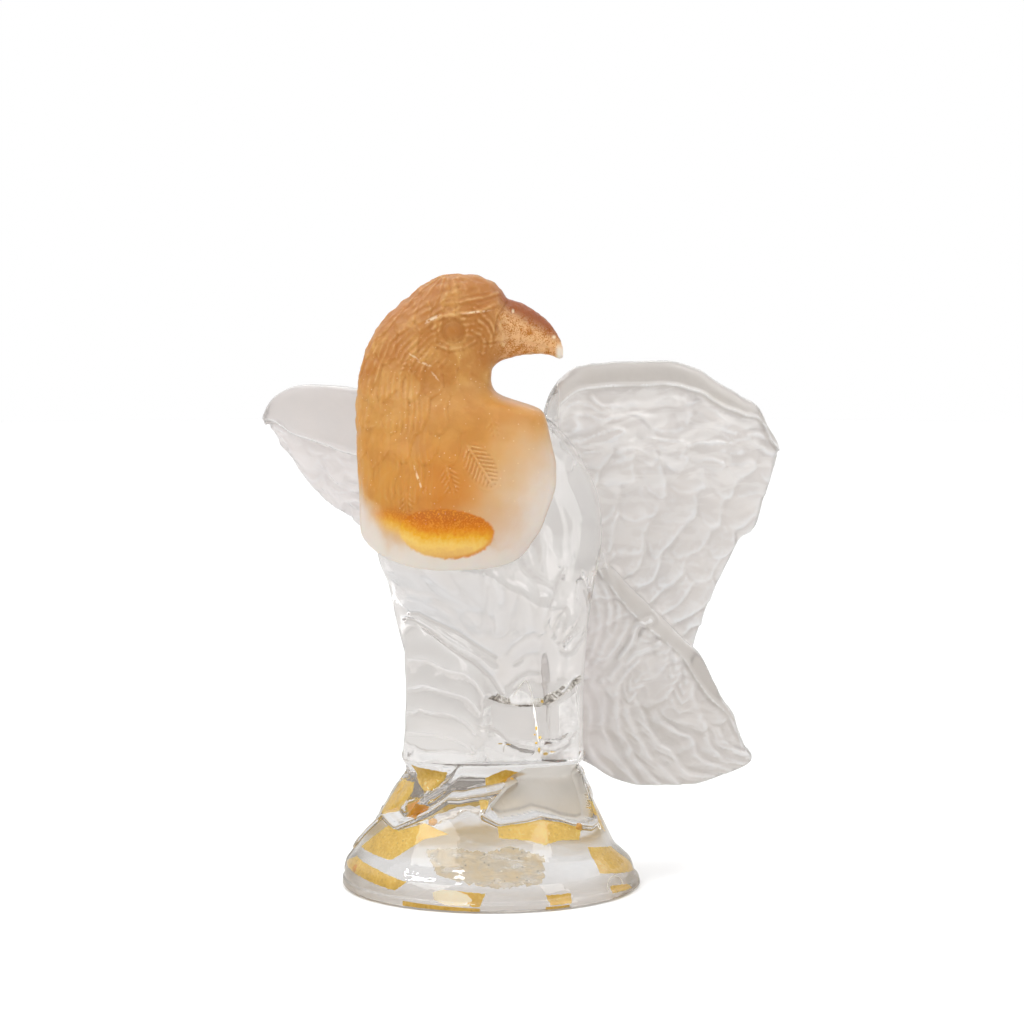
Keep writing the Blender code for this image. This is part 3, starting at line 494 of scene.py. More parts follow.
def wing_ring(wing, column):
    """An upright ring across a wing: thick at the leading edge on top, thin where the feathers end."""
    span, top, bottom = column
    c, s = oval(2.6)
    z = (top + bottom) / 2 + (top - bottom) / 2 * c
    share = (z - bottom) / (top - bottom)
    half = (WING_THICK_BOTTOM + (WING_THICK_TOP - WING_THICK_BOTTOM) * share) / 2
    tip_thinning = 1 - 0.35 * max(0.0, (span - 90) / 35)
    back = half * s * tip_thinning + WING_TRAIL * (top - z)
    along, behind = wing_frame(wing.sweep)
    x = wing.root[0] + span * along[0] + back * behind[0]
    y = wing.root[1] + span * along[1] + back * behind[1]
    return np.column_stack([x, y, z]) * U


def head_ring(column):
    """An upright ring across the head or beak."""
    x, top, bottom, half = column
    c, s = oval(2.1)
    z = (top + bottom) / 2 + (top - bottom) / 2 * c
    return np.column_stack([np.full_like(z, x), HEAD_Y + half * s, z]) * U


def add_skin(shape, rings):
    """Adds one closed skin through the rings."""
    loops = [[shape.verts.new(point) for point in ring] for ring in rings]
    for low, high in zip(loops, loops[1:]):
        for i in range(len(low)):
            j = (i + 1) % len(low)
            shape.faces.new((low[i], low[j], high[j], high[i]))
    shape.faces.new(reversed(loops[0]))
    shape.faces.new(loops[-1])


def mesh_of(shape, name):
    """A mesh with its faces pointing out."""
    bmesh.ops.recalc_face_normals(shape, faces=shape.faces)
    mesh = bpy.data.meshes.new(name)
    shape.to_mesh(mesh)
    shape.free()
    return mesh


def new_object(name, mesh):
    """Puts a mesh in the scene at the frame's origin."""
    thing = bpy.data.objects.new(name, mesh)
    bpy.context.scene.collection.objects.link(thing)
    return thing


def add_modifier(thing, kind, **values):
    """Adds a modifier and sets its values."""
    modifier = thing.modifiers.new(kind.title(), kind)
    for key, value in values.items():
        setattr(modifier, key, value)


def shape_of(thing):
    """A mesh of the object as its modifiers leave it."""
    graph = bpy.context.evaluated_depsgraph_get()
    return bpy.data.meshes.new_from_object(thing.evaluated_get(graph))


def settle(thing):
    """Takes the object out of the scene and gives back the mesh that its modifiers make."""
    mesh = shape_of(thing)
    bpy.data.objects.remove(thing)
    return mesh


def pocket_floor(y):
    """Height of the pocket's sloping floor at a depth, in the bird's units."""
    return POCKET_FLOOR_FRONT[1] + POCKET_FLOOR_SLOPE * (y - POCKET_FLOOR_FRONT[0])


def prism(name, outline, left, right):
    """A cutter: an outline in depth and height, in the bird's units, drawn out from left to right."""
    shape = bmesh.new()
    loops = [[shape.verts.new(Vector((x, y, z)) * U) for y, z in outline] for x in (left, right)]
    shape.faces.new(loops[0])
    shape.faces.new(reversed(loops[1]))
    for i in range(len(outline)):
        j = (i + 1) % len(outline)
        shape.faces.new((loops[0][j], loops[0][i], loops[1][i], loops[1][j]))
    return new_object(name, mesh_of(shape, name))


def bust_cutter(name, spare):
    """What is taken off the bust below and behind its pocket's planes. Spare leaves that many units on."""
    back, far = POCKET_BACK_Y + spare, 150
    lift = -spare * math.sqrt(1 + POCKET_FLOOR_SLOPE**2)
    corner = (back, pocket_floor(back) + lift)
    outline = [(back, 300), corner, (-far, pocket_floor(-far) + lift), (-far, -100), (far, -100), (far, 300)]
    return prism(name, outline, -200, 200)


def foot_cutter(name):
    """What is taken off under the bird's feet."""
    back = TORSO_ROWS[0][4] + 3
    outline = [(-150, -FOOT_SINK), (-150, -60), (back, -60), (back, -FOOT_SINK)]
    return prism(name, outline, -150, TORSO_ROWS[0][2] + 1)


def melted(name, shape, voxel, softness, cutter=None):
    """One skin round overlapping lofts, cut if asked, with its edges melted soft like cast glass."""
    rough = new_object(name + "_rough", mesh_of(shape, name))
    add_modifier(rough, "REMESH", mode="VOXEL", voxel_size=voxel)
    if cutter:
        add_modifier(rough, "BOOLEAN", operation="DIFFERENCE", object=cutter)
        add_modifier(rough, "REMESH", mode="VOXEL", voxel_size=voxel)
    passes = max(2, round((softness / voxel) ** 2))
    add_modifier(rough, "SMOOTH", factor=0.5, iterations=passes)
    return settle(rough)


def places_of(mesh):
    """The points and normals of a mesh as rows of numbers."""
    count = len(mesh.vertices)
    place, normal = np.empty(count * 3), np.empty(count * 3)
    mesh.vertices.foreach_get("co", place)
    mesh.vertices.foreach_get("normal", normal)
    return place.reshape(-1, 3), normal.reshape(-1, 3)


def carve(mesh, relief):
    """Moves each point along its normal by what relief gives for it. Relief works in the bird's units."""
    place, normal = places_of(mesh)
    place += normal * (relief(place / U, normal) * U)[:, None]
    mesh.vertices.foreach_set("co", place.ravel())
    mesh.update()


def fade(value, low, high):
    """0 below low and 1 above high, with a smooth rise between."""
    t = np.clip((value - low) / (high - low), 0, 1)
    return t * t * (3 - 2 * t)


def bell(value, width, middle=0.0):
    """1 at the middle, falling away smoothly over about that width."""
    return np.exp(-(((value - middle) / width) ** 2))


def steady(*numbers):
    """A number from 0 to 1 that stays the same for the same whole numbers."""
    total = sum(np.asarray(n, float) * k for n, k in zip(numbers, (127.1, 311.7, 74.7)))
    return np.modf(np.abs(np.sin(total) * 43758.5453))[0]


def cloud(place, size, seed=0.0):
    """Smooth noise from about -1 to 1 over features of that size."""
    shift = Vector((seed, 1.7 * seed, 2.3 * seed))
    return np.array([noise.noise(Vector(p) / size + shift) for p in place])


def veins(place, size, seed, width):
    """Thin wandering ridges, 1 along their tops, where noise of that size passes through zero."""
    return np.clip(1 - np.abs(cloud(place, size, seed)) / width, 0, 1) ** 1.5


def plumes(along, down, edges, widths, lap=0.8, barb=0.0, shaft=0.0):
    """Overlapping rows of feathers. Each rises from its root to its rounded tip and from one side to the
    other, drops to the feathers that it covers, and may carry a shaft and slanting barbs."""
    height = np.zeros_like(down)
    for k in reversed(range(len(widths))):
        place = along / widths[k] + 0.5 * (k % 2)
        number = np.floor(place)
        cell = place - number - 0.5
        length = edges[k + 1] - edges[k]
        reach = edges[k + 1] + 0.22 * length * (steady(number, k, 3) - 0.5)
        tip = reach - 0.42 * min(widths[k], length) * np.abs(2 * cell) ** 2.4
        share = np.clip((down - edges[k]) / length, 0, 1)
        lapped = lap * (0.8 + 0.4 * steady(number, k, 7)) * (cell + 0.5) * fade(0.5 - cell, 0, 0.12)
        crown = 0.22 * (1 - (2 * cell) ** 2)
        ribs = shaft * bell(cell, 0.06)
        swept = 2 * math.pi * (down - 1.1 * np.abs(cell) * widths[k]) / BARB_STRIDE
        strokes = barb * np.sin(swept) * fade(np.abs(cell), 0.05, 0.12)
        rounded = fade(tip - down, 0, 2.2)
        inside = (0.55 * share + lapped + crown + ribs + strokes) * (0.55 + 0.45 * rounded)
        height = np.where(down < tip, inside, height)
    return height


def distance_to(across, up, points):
    """Distance from each place to a line through the points."""
    nearest = np.full_like(across, 1e9)
    for (ax, az), (bx, bz) in zip(points, points[1:]):
        dx, dz = bx - ax, bz - az
        t = np.clip(((across - ax) * dx + (up - az) * dz) / (dx * dx + dz * dz), 0, 1)
        nearest = np.minimum(nearest, np.hypot(across - ax - t * dx, up - az - t * dz))
    return nearest


def inside_of(across, up, outline):
    """Whether each place is inside the closed outline."""
    inside = np.zeros(np.shape(across), bool)
    for (ax, az), (bx, bz) in zip(outline, outline[1:] + outline[:1]):
        crosses = (az > up) != (bz > up)
        with np.errstate(divide="ignore", invalid="ignore"):
            at = (bx - ax) * (up - az) / (bz - az) + ax
        inside ^= crosses & (across < at)
    return inside


def groove(across, up, points, width):
    """1 along a line through the points, falling to 0 at width from it."""
    return 1 - fade(distance_to(across, up, points), 0, width)


def cord_fold(across, up, points, width):
    """A soft raised fold between two creases, along a line."""
    away = distance_to(across, up, points) / width
    return bell(away, 0.45) - 0.75 * bell(away, 0.35, 1)


def lapped_step(across, up, points, reach, sharp=1.0):
    """Rises towards a line from above it and drops away just below it."""
    line = pchip([p[0] for p in points], [p[1] for p in points], across)
    above = up - line
    start, end = points[0][0], points[-1][0]
    ends = fade(across, start - 2, start + 1) * (1 - fade(across, end - 1, end + 2))
    return np.clip(1 - above / reach, 0, 1) ** 1.5 * fade(above, -sharp, 0) * ends


def wing_place(place, wing):
    """Where points lie on a wing: along it, below its leading edge, how far that edge has dropped, and how
    surely they are on the wing's own sheet and not on the body."""
    table = np.array(sorted(wing.columns), float)
    along, behind = wing_frame(wing.sweep)
    flat = place[:, :2] - np.array(wing.root)
    span = flat @ along
    top = pchip(table[:, 0], table[:, 1], span)
    down = top - place[:, 2]
    off_middle = np.abs(flat @ behind - WING_TRAIL * down)
    on_sheet = 1 - fade(off_middle, WING_THICK_TOP / 2 + 1, WING_THICK_TOP / 2 + 4)
    return span, down, table[:, 1].max() - top, on_sheet * fade(span, 2, 8)


def tail_place(place, normal):
    """How surely points are on the tail, and how far they are from its right edge."""
    x, y, z = place.T
    tail = np.array(sorted(TAIL_ROWS), float)
    left, right, middle = (pchip(tail[:, 0], tail[:, column], z) for column in (1, 2, 3))
    depth = middle + TAIL_LEAN * (x - (left + right) / 2)
    on_tail = fade(x, *TAIL_START) * (1 - fade(z, *TAIL_TOP)) * (x < right + 3)
    return on_tail * (y < depth + np.where(normal[:, 1] < 0, -1.5, 9)), right - x


def satin_share(place, normal):
    """How surely points are on the satin wings and tail: the right wing, the left wing, and the tail."""
    on_tail, _ = tail_place(place, normal)
    x = place[:, 0]
    right = wing_place(place, RIGHT_WING)[3]
    right = right * (1 - on_tail) * np.where(normal[:, 1] > 0, fade(x, *WING_START), 1)
    left = wing_place(place, LEFT_WING)[3] * fade(-x, *WING_START)
    return right, left, on_tail


def smooth_bands(place, normal):
    """1 on the smooth bands along the wings' leading edges and the tail's upper edge."""
    right, left, on_tail = satin_share(place, normal)
    wings = 0
    for on, wing in ((right, RIGHT_WING), (left, LEFT_WING)):
        span, down, _, _ = wing_place(place, wing)
        width = pchip(*zip(*wing.band), span)
        wings = wings + on * (1 - fade(down, width - 1, width + 1))
    width = pchip(*zip(*TAIL_BANDS), place[:, 2])
    inward = tail_place(place, normal)[1]
    return wings + on_tail * (1 - fade(inward, width - 1, width + 1))


def rolled_lip(beyond):
    """The rounded lip of a smooth band and the crease under it, by the distance beyond the band's edge."""
    return 0.42 * bell(beyond, 1.0, -1.2) - 0.12 * bell(beyond, 0.9, 0.8)


def wing_relief(place, wing):
    """Feather relief on a wing: long wavy lines under the smooth band, then overlapping feathers."""
    span, down, dropped, _ = wing_place(place, wing)
    band_width = pchip(*zip(*wing.band), span)
    row_down = down - band_width + WING_BAND + WING_ROW_FLATNESS * dropped
    lean = 0.007 * np.clip(row_down - 66, 0, None) ** 2
    sideways = span + lean + 7.0 * cloud(place, 24, 2.0) + 1.4 * cloud(place, 8, 8.0)
    rows = row_down + 5.0 * cloud(place, 19, 5.0) + 1.2 * cloud(place, 8, 6.0)
    lower = fade(row_down, *BARBED_BELOW)
    lap = 0.1 + 0.55 * fade(row_down, *PLUMED_BELOW)
    feathers = plumes(sideways, rows, WING_EDGES, WING_FEATHER_WIDTHS, lap)
    barbs = plumes(sideways, rows, WING_EDGES, WING_FEATHER_WIDTHS, 0.75, 0.05, 0.10)
    feathers = feathers * (1 - lower) + barbs * lower
    drawn_out = np.column_stack([sideways / 3.4, rows, place[:, 1] * 0.3])
    folds = veins(drawn_out, 5.5, 3.0, 0.28)
    upper = fade(row_down, 15, 20) * (1 - 0.75 * fade(row_down, 44, 56))
    broad = 0.35 * cloud(place, 11, 9.0)
    feathers = 0.85 * feathers + 0.50 * folds * upper + broad
    beyond = down - band_width
    band = 1 - fade(beyond, -1.0, 0.6)
    return WING_RELIEF * (feathers * (1 - band) - 0.6 + band + rolled_lip(beyond))


def tail_relief(place, inward):
    """Long feathers that spring from under the smooth band and fan out, with folds and patches of barbs."""
    x, z = place[:, 0] - TAIL_PIVOT[0], TAIL_PIVOT[1] - place[:, 2]
    turn = np.degrees(np.arctan2(x, z))
    away = np.hypot(x, z)
    bend = 0.0048 * (np.clip(away, 70, None) ** 2 - 4900)
    bent = turn - bend + 7.5 * cloud(place, 24, 3.0) + 1.5 * cloud(place, 8, 4.0)
    reach = away + 6.0 * cloud(place, 15, 7.0)
    fan = plumes(bent, reach, TAIL_EDGES, TAIL_FEATHER_ANGLES, 0.7, 0.0, 0.12)
    cell = (bent / TAIL_FEATHER_ANGLES[1]) % 1.0 - 0.5
    patchy = fade(cloud(place, 13, 11.0), 0.05, 0.3)
    barbs = 0.16 * patchy * np.sin(2 * math.pi * (away - 14 * np.abs(cell)) / 5.5)
    drawn_out = np.column_stack([bent / 2.2, away / 3.0, np.zeros_like(away)])
    folds = veins(drawn_out, 2.4, 15.0, 0.25)
    broad = 0.35 * cloud(place, 12, 13.0)
    beyond = inward - pchip(*zip(*TAIL_BANDS), place[:, 2])
    band = 1 - fade(beyond, -1.0, 0.6)
    feathers = 0.80 * fan + barbs + 0.17 * folds + 1.4 * broad
    return TAIL_RELIEF * (feathers * (1 - band) - 0.6 + band + rolled_lip(beyond))


def leg_relief(x, z):
    """Scalloped feathering of the leg, and the folded rim of the thigh above it."""
    height = np.zeros_like(x)
    for line in LEG_SCALLOPS:
        height = np.maximum(height, 1.1 * lapped_step(x, z, line, 7.0, 0.8))
    rim = 1.5 * groove(x, z, THIGH_RIM, 1.7)
    fold = 1.9 * groove(x, z, THIGH_FOLD, 1.9)
    swell = 1.4 * bell(distance_to(x, z, THIGH_SWELL), 2.4)
    return height, swell - rim - fold


def bird_relief(place, normal):
    """All the carving of the clear bird."""
    x, y, z = place.T
    front = fade(-normal[:, 1], 0.1, 0.5)
    back = fade(normal[:, 1], 0.1, 0.5)
    facing = np.maximum(front, back)
    on_right, on_left, on_tail = satin_share(place, normal)
    _, behind = wing_frame(LEFT_WING.sweep)
    left_facing = fade(np.abs(normal[:, :2] @ behind), 0.1, 0.5)
    right = wing_relief(place, RIGHT_WING)
    left = wing_relief(place, LEFT_WING)
    _, inward = tail_place(place, normal)
    tail = tail_relief(place, inward)
    height = right * on_right * facing + left * on_left * left_facing + tail * on_tail * facing

    body = front * (1 - np.clip(on_right + on_left + on_tail, 0, 1))
    near = body * (y < BELLY_BACK)
    scallops, thigh = leg_relief(x, z)
    height = height + scallops * near * (1 - fade(z, 52, 58)) * fade(z, 2, 5)
    height = height + thigh * near
    for lines, area, form, rise, width in (
        (BELLY_FOLDS, near, groove, -0.6, 2.0),
        (BROAD_FOLDS, body * (y < 0), cord_fold, 0.55, 6.0),
        ([GLINT_FOLD], near, cord_fold, 0.7, 3.2),
        ([BELLY_CREASE], near, groove, -0.35, 2.6),
        (FLANK_FOLDS, front * (y > -12) * (y < 60), cord_fold, 0.40, 2.4),
        (SHOULDER_FOLDS, body * (y < 36), cord_fold, 0.18, 5.0),
        (TAIL_FOLDS, on_tail * front, cord_fold, 1.3, 2.8),
        ([CRESCENT], near, groove, -1.0, 2.0),
        ([BOWL_RIM], near, groove, -0.9, 1.4),
    ):
        for line in lines:
            height = height + rise * area * form(x, z, line, width)
    drop = pchip(*zip(*CRESCENT), x) - z
    below = fade(drop, -0.4, 1.0) * (1 - fade(drop, 16, 26)) * fade(x, -4, -1) * (1 - fade(x, 41, 44))
    height = height - CRESCENT_STEP * near * below

    across, down = x + 3.0 * cloud(place, 16, 1.0), BACK_TOP - z + 3.0 * cloud(place, 15, 6.0)
    mantle = plumes(across, down, BACK_EDGES, [BACK_FEATHER_WIDTH] * 6, 0.8, 0.04, 0.10)
    on_back = back * (y > 18) * fade(z, 64, 74) * (1 - fade(np.abs(x), 40, 50))
    height = height + BACK_RELIEF * (mantle - 0.6) * on_back
    return height + 0.18 * cloud(place, 9)


def barbed_feathers(x, z):
    """Single engraved feathers: a shaft with fine barbs swept back from it, inside an oval outline."""
    height = np.zeros_like(x)
    for across, up, half_length, half_width, turn, strength in BARBED_FEATHERS:
        angle = math.radians(turn)
        down = -(z - up) * math.cos(angle) + (x - across) * math.sin(angle)
        aside = (x - across) * math.cos(angle) + (z - up) * math.sin(angle)
        round_edge = np.hypot(down / half_length, aside / half_width)
        within = 1 - fade(round_edge, 0.72, 1.0)
        phase = ((down - 1.1 * np.abs(aside) ** 0.9) / BARB_PITCH) % 1.0 - 0.5
        barbs = bell(phase, 0.20) * fade(np.abs(aside), 0.5, 1.2)
        shaft = bell(aside, 0.5)
        outline = bell(round_edge, 0.08, 1.0) * (down > -0.3 * half_length)
        height = height + strength * (0.85 * within * (barbs + shaft) + 0.28 * outline)
    return height


def bust_relief(place, normal):
    """All the carving of the amber head and breast."""
    x, y, z = place.T
    side = fade(np.abs(normal[:, 1]), 0.2, 0.55)
    round_neck = 45 * np.arctan2(x + 20, -(y + 15))
    around, down = round_neck + 4 * cloud(place, 14, 2.0), NAPE_TOP - z + 4 * cloud(place, 12)
    plumage = plumes(around, down, NAPE_EDGES, [NAPE_FEATHER_WIDTH] * 8, 0.7)
    plumed = fade(-x, 2, 26) * fade(z, 108, 140)
    height = NAPE_RELIEF * (plumage - 0.6) * plumed

    beside = distance_to(x, z, NAPE_LINE)
    shifting = 3.6 * cloud(place, 17, 4.0) + 0.8 * cloud(place, 6, 5.0)
    flow = np.sin(2 * math.pi * beside / STRAND_PITCH + shifting)
    strength = 0.35 + 0.65 * fade(cloud(place, 12, 6.0), -0.25, 0.3)
    on_face = fade(x, -8, 4) * fade(z, 195, 205)
    flowing = (1 - fade(beside, *STRAND_REACH)) * fade(z, *STRAND_HEIGHTS) * (1 - on_face)
    height = height + 0.15 * flow * strength * flowing * (0.35 + 0.65 * side)
    tufts = veins(place, 5.2, 7.0, 0.22)
    rough = cloud(place, 3.4, 12.0)
    feathered = fade(z, 150, 185) * (1 - fade(x, -2, 6))
    height = height + feathered * (0.13 * tufts + 0.12 * rough)
    crown = fade(normal[:, 2], 0.1, 0.6) * fade(z, 200, 222) * (1 - fade(x, 0, 8))
    nape = fade(-normal[:, 0], 0.3, 0.8) * fade(z, 130, 170)
    height = height + np.maximum(crown, nape) * 0.75 * cloud(place, 4.6, 14.0)
    height = height + side * (y < 0) * barbed_feathers(x, z)

    eye = np.hypot(x - EYE[0], z - EYE[1]) / EYE_RADIUS
    height = height * (1 - side * (1 - fade(eye, 0.9, 1.5)))
    ball = 0.40 * (1 - fade(eye, 0.2, 1.0))
    socket = 0.50 * bell(eye, 0.22, 1.15)
    brow = 0.8 * groove(x, z, BROW_LINE, 2.4)
    cere = 0.7 * groove(x, z, CERE_LINE, 1.5)
    mouth = 0.6 * groove(x, z, MOUTH_LINE, 1.2)
    nostril = 0.8 * (1 - fade(np.hypot(x - NOSTRIL[0], z - NOSTRIL[1]), 0.5, 1.6))
    face = np.zeros_like(x)
    for line in FACE_LINES:
        face = face + 0.28 * cord_fold(x, z, line, 1.5)
    pitted = 0.30 * cloud(place, 2.0, 9.0) * fade(x, -4, 8) * fade(z, 196, 200)
    return height + side * (ball - socket + brow - cere - mouth - nostril + face) + pitted


def lifted(mesh):
    """The bird's mesh moved up onto the base's seat."""
    place, _ = places_of(mesh)
    place[:, 2] += BASE_HEIGHT
    mesh.vertices.foreach_set("co", place.ravel())
    mesh.update()
    return mesh


def thinned(name, mesh, faces, cutters=(), soften=0):
    """The sculpted mesh, softened a little and with no more than that many triangles, cut flat where it meets
    its neighbours."""
    piece = new_object(name + "_draft", mesh)
    if soften:
        add_modifier(piece, "SMOOTH", factor=0.5, iterations=soften)
    triangles = sum(len(face.vertices) - 2 for face in mesh.polygons)
    if triangles > faces:
        add_modifier(piece, "DECIMATE", ratio=faces / triangles, use_collapse_triangulate=True)
    for cutter in cutters:
        add_modifier(piece, "BOOLEAN", operation="DIFFERENCE", object=cutter, solver="MANIFOLD")
    return settle(piece)


def bust_draft(voxel):
    """The amber casting before it is cut: head, neck and breast, carved."""
    shape = bmesh.new()
    add_skin(shape, [neck_ring(row) for row in smooth_rows(NECK_ROWS, 2)])
    add_skin(shape, [head_ring(column) for column in smooth_rows(HEAD_COLUMNS, 1.5)])
    mesh = melted("bust", shape, voxel, BUST_SOFTNESS, bust_cutter("bust_rough_cutter", 0.8))
    bpy.data.objects.remove(bpy.data.objects["bust_rough_cutter"])
    carve(mesh, bust_relief)
    return mesh


def amber_bust():
    """The amber casting."""
    cutter = bust_cutter("bust_cutter", 0)
    mesh = thinned("bust", bust_draft(BUST_VOXEL), BUST_FACES, [cutter], 1)
    bpy.data.objects.remove(cutter)
    return new_object("amber_head_and_breast_fine", lifted(mesh))


def mark_bird(mesh):
    """Notes on the bird's points how satin the skin is, and where its smooth bands and the satin's downturned
    lower edges lie, which the material paints in shade; and gives each face a material: 0 clear, 1 satin, 2
    bonded to the base."""
    place, normal = places_of(mesh)
    place = place / U
    satin = np.clip(sum(satin_share(place, normal)), 0, 1).astype(np.float32)
    under_edge = satin * fade(-normal[:, 2], 0.15, 0.5) * (place[:, 2] < 20)
    bands = np.clip(np.maximum(smooth_bands(place, normal), under_edge), 0, 1).astype(np.float32)
    for name, values in (("satin", satin), ("smooth_band", bands)):
        mesh.attributes.new(name, "FLOAT", "POINT").data.foreach_set("value", values)
    for face in mesh.polygons:
        under = face.normal.z < -0.9 and face.center.z < -0.5 * FOOT_SINK * U
        wing = np.mean([satin[i] for i in face.vertices]) > 0.5
        face.material_index = 2 if under else int(wing)


def clear_bird():
    """The clear casting: torso, legs, tail and both wings in one, with the pocket for the bust."""
    shape = bmesh.new()
    for rows in (TORSO_ROWS, BELLY_ROWS, LEFT_LEG_ROWS, RIGHT_LEG_ROWS):
        add_skin(shape, [row_ring(row) for row in smooth_rows(rows, 3)])
    add_skin(shape, [tail_ring(row) for row in smooth_rows(TAIL_ROWS, 2)])
    for wing in (RIGHT_WING, LEFT_WING):
        add_skin(shape, [wing_ring(wing, column) for column in smooth_rows(wing.columns, 2)])
    mesh = melted("bird", shape, BIRD_VOXEL, BIRD_SOFTNESS)
    carve(mesh, bird_relief)
    cutter = bust_cutter("pocket_planes", 0)
    pocket = new_object("pocket", thinned("pocket", bust_draft(POCKET_VOXEL), BUST_FACES, [cutter]))
    add_modifier(pocket, "DISPLACE", strength=GLUE_LINE, mid_level=0)
    feet = foot_cutter("foot_cutter")
    mesh = thinned("bird", mesh, BIRD_FACES, [pocket, feet], 3)
    for helper in (cutter, pocket, feet):
        bpy.data.objects.remove(helper)
    mark_bird(mesh)
    return new_object("eagle_body_and_wings_fine", lifted(mesh))


def seat_radius(angle):
    """Radius of the base's top in metres, which follows the bird's feet with a small margin."""
    _, left, right, _, back = TORSO_ROWS[1]
    front = LEFT_LEG_ROWS[1][3]
    c, s = np.cos(angle), np.sin(angle)
    across = np.where(c > 0, right, -left) * U + SEAT_MARGIN
    deep = np.where(s > 0, back, -front) * U + SEAT_MARGIN
    return ((np.abs(c) / across) ** SEAT_POWER + (np.abs(s) / deep) ** SEAT_POWER) ** (-1 / SEAT_POWER)


def base_radius(angle, height):
    """Radius of the flare in metres at an angle and height: round below, and like the feet at the top."""
    share = height / BASE_HEIGHT
    heights, lefts, rights = zip(*FLARE)
    rightness = (1 + np.cos(angle)) / 2
    mixed = pchip(heights, lefts, share) * (1 - rightness) + pchip(heights, rights, share) * rightness
    top_round = (lefts[-1] * (1 - rightness) + rights[-1] * rightness) * BASE_DIAMETER / 2
    return mixed * BASE_DIAMETER / 2 + (seat_radius(angle) - top_round) * share**1.5


def on_skin(table):
    """Angles in degrees and shares of the base's height, as lengths on its unrolled skin in millimetres."""
    return [(angle * SKIN_PER_DEGREE, share * BASE_HEIGHT / U) for angle, share in table]


def chiselled(place, size, seed):
    """Flat tilted facets of about that size, as on broken rock."""
    height = np.empty(len(place))
    for i, p in enumerate(place):
        at = Vector(p) / size + Vector((seed, seed, seed))
        _, points = noise.voronoi(at, distance_metric="DISTANCE", exponent=2.5)
        tilt = noise.cell_vector(points[0] * 7.3) * 2 - Vector((1, 1, 1))
        height[i] = (at - points[0]).dot(tilt)
    return height


def base_inset(angle, height):
    """How far the base's real skin lies inside its flare, in metres: polished skirt, raised lip and rock."""
    across = np.degrees(angle) * SKIN_PER_DEGREE
    up = height / U
    ledge = on_skin(LEDGE)
    over_top = [(181 * SKIN_PER_DEGREE, 90), (-181 * SKIN_PER_DEGREE, 90)]
    rock = inside_of(across, up, ledge + over_top)
    away = distance_to(across, up, ledge) * np.where(rock, 1, -1)
    top_fade = fade(BASE_HEIGHT / U - up, 0, 9)
    degrees = np.degrees(angle)
    dished = fade(degrees, *DISH_START) * (1 - fade(degrees, *DISH_END))

    place = np.column_stack([across, up, np.zeros_like(up)]) / LUMP_SIZE
    lumps = 0.9 * chiselled(place, 1.2, 3.0) + 0.2 * chiselled(place, 0.5, 8.0)
    along_dish = np.clip((degrees - DISH_START[1]) / DISH_SPAN, 0, 1)
    hollow = 0.6 * np.sin(math.pi * along_dish)
    depth = 1 + np.where(dished > 0.5, hollow * dished + 0.06 * lumps, 0.34 * lumps)
    rim = distance_to(across, up, on_skin(ROCK_RIM))
    step = LEDGE_STEP * depth * top_fade * fade(away, -0.2, 1.5)
    lip = LIP_DIP * bell(away, 1.0, 2.2) * top_fade - LIP_RISE * bell(away, 1.1, -1.3)
    raised = -ROCK_RIM_RISE * bell(rim, 1.6) * rock * top_fade
    ripple = SKIRT_RIPPLE * np.sin(across / 8 + up / 17) * np.sin(across / 21 - up / 12) * ~rock
    foot_rim = RIM_STEP * fade(up, 3.9, 4.6) * (1 - fade(up, 60, 66))
    return np.where(rock, step, 0) + (lip + raised + ripple) * fade(up, 4, 8) + foot_rim


def base_skin(angle, height, depth=0.0):
    """Points of the base's real skin, or that far under it, in metres."""
    angle, height = np.broadcast_arrays(np.asarray(angle, float), np.asarray(height, float))
    inset = base_inset(angle.ravel(), height.ravel()).reshape(angle.shape)
    radius = base_radius(angle, height) - inset - depth
    return np.stack([radius * np.cos(angle), radius * np.sin(angle), height], axis=-1)


def under_feet(x, y):
    """Whether places of the base's top, in the bird's units, are covered by its feet."""
    covered = np.zeros(np.shape(x), bool)
    for _, left, right, front, back in (TORSO_ROWS[1], LEFT_LEG_ROWS[1], RIGHT_LEG_ROWS[1]):
        across = np.abs(x - (left + right) / 2) / ((right - left) / 2)
        deep = np.abs(y - (front + back) / 2) / ((back - front) / 2)
        covered |= across**2.3 + deep**2.3 < 1
    return covered


def rock_base():
    """The base: a polished skirt on a foot rim, its broken edge, and rock above it up to the bird's feet. Its
    faces are 0 polished, 1 bonded to the bird, 2 matt and painted darker as shade."""
    angles = np.linspace(-math.pi, math.pi, BASE_STEPS, endpoint=False)
    heights = FOOT_RIM_HEIGHT + (BASE_HEIGHT - FOOT_RIM_HEIGHT) * np.linspace(0, 1, BASE_LEVELS)
    rings = []
    for height, inset in FOOT_PROFILE:
        level = np.full_like(angles, height)
        radius = base_radius(angles, level) - inset
        rings.append(np.column_stack([radius * np.cos(angles), radius * np.sin(angles), level]))
    for height in heights:
        rings.append(base_skin(angles, height))
    top = rings[-1]
    for share in TOP_SHARES:
        rings.append(top * (share, share, 1))
    rings.insert(0, rings[0] * (0.98, 0.98, 1))
    shape = bmesh.new()
    add_skin(shape, rings)
    mesh = mesh_of(shape, "rock_base")
    x, y, z = np.array([face.center for face in mesh.polygons]).T
    level = np.array([face.normal.z > 0.99 for face in mesh.polygons])
    matt = inside_of(np.degrees(np.arctan2(y, x)), z / U, FACET)
    seat = level & (z > BASE_HEIGHT - 1e-5) & under_feet(x / U, y / U)
    mesh.polygons.foreach_set("material_index", np.where(seat, 1, np.where(matt, 2, 0)).astype(np.int32))
    return new_object("rock_base_fine", mesh)


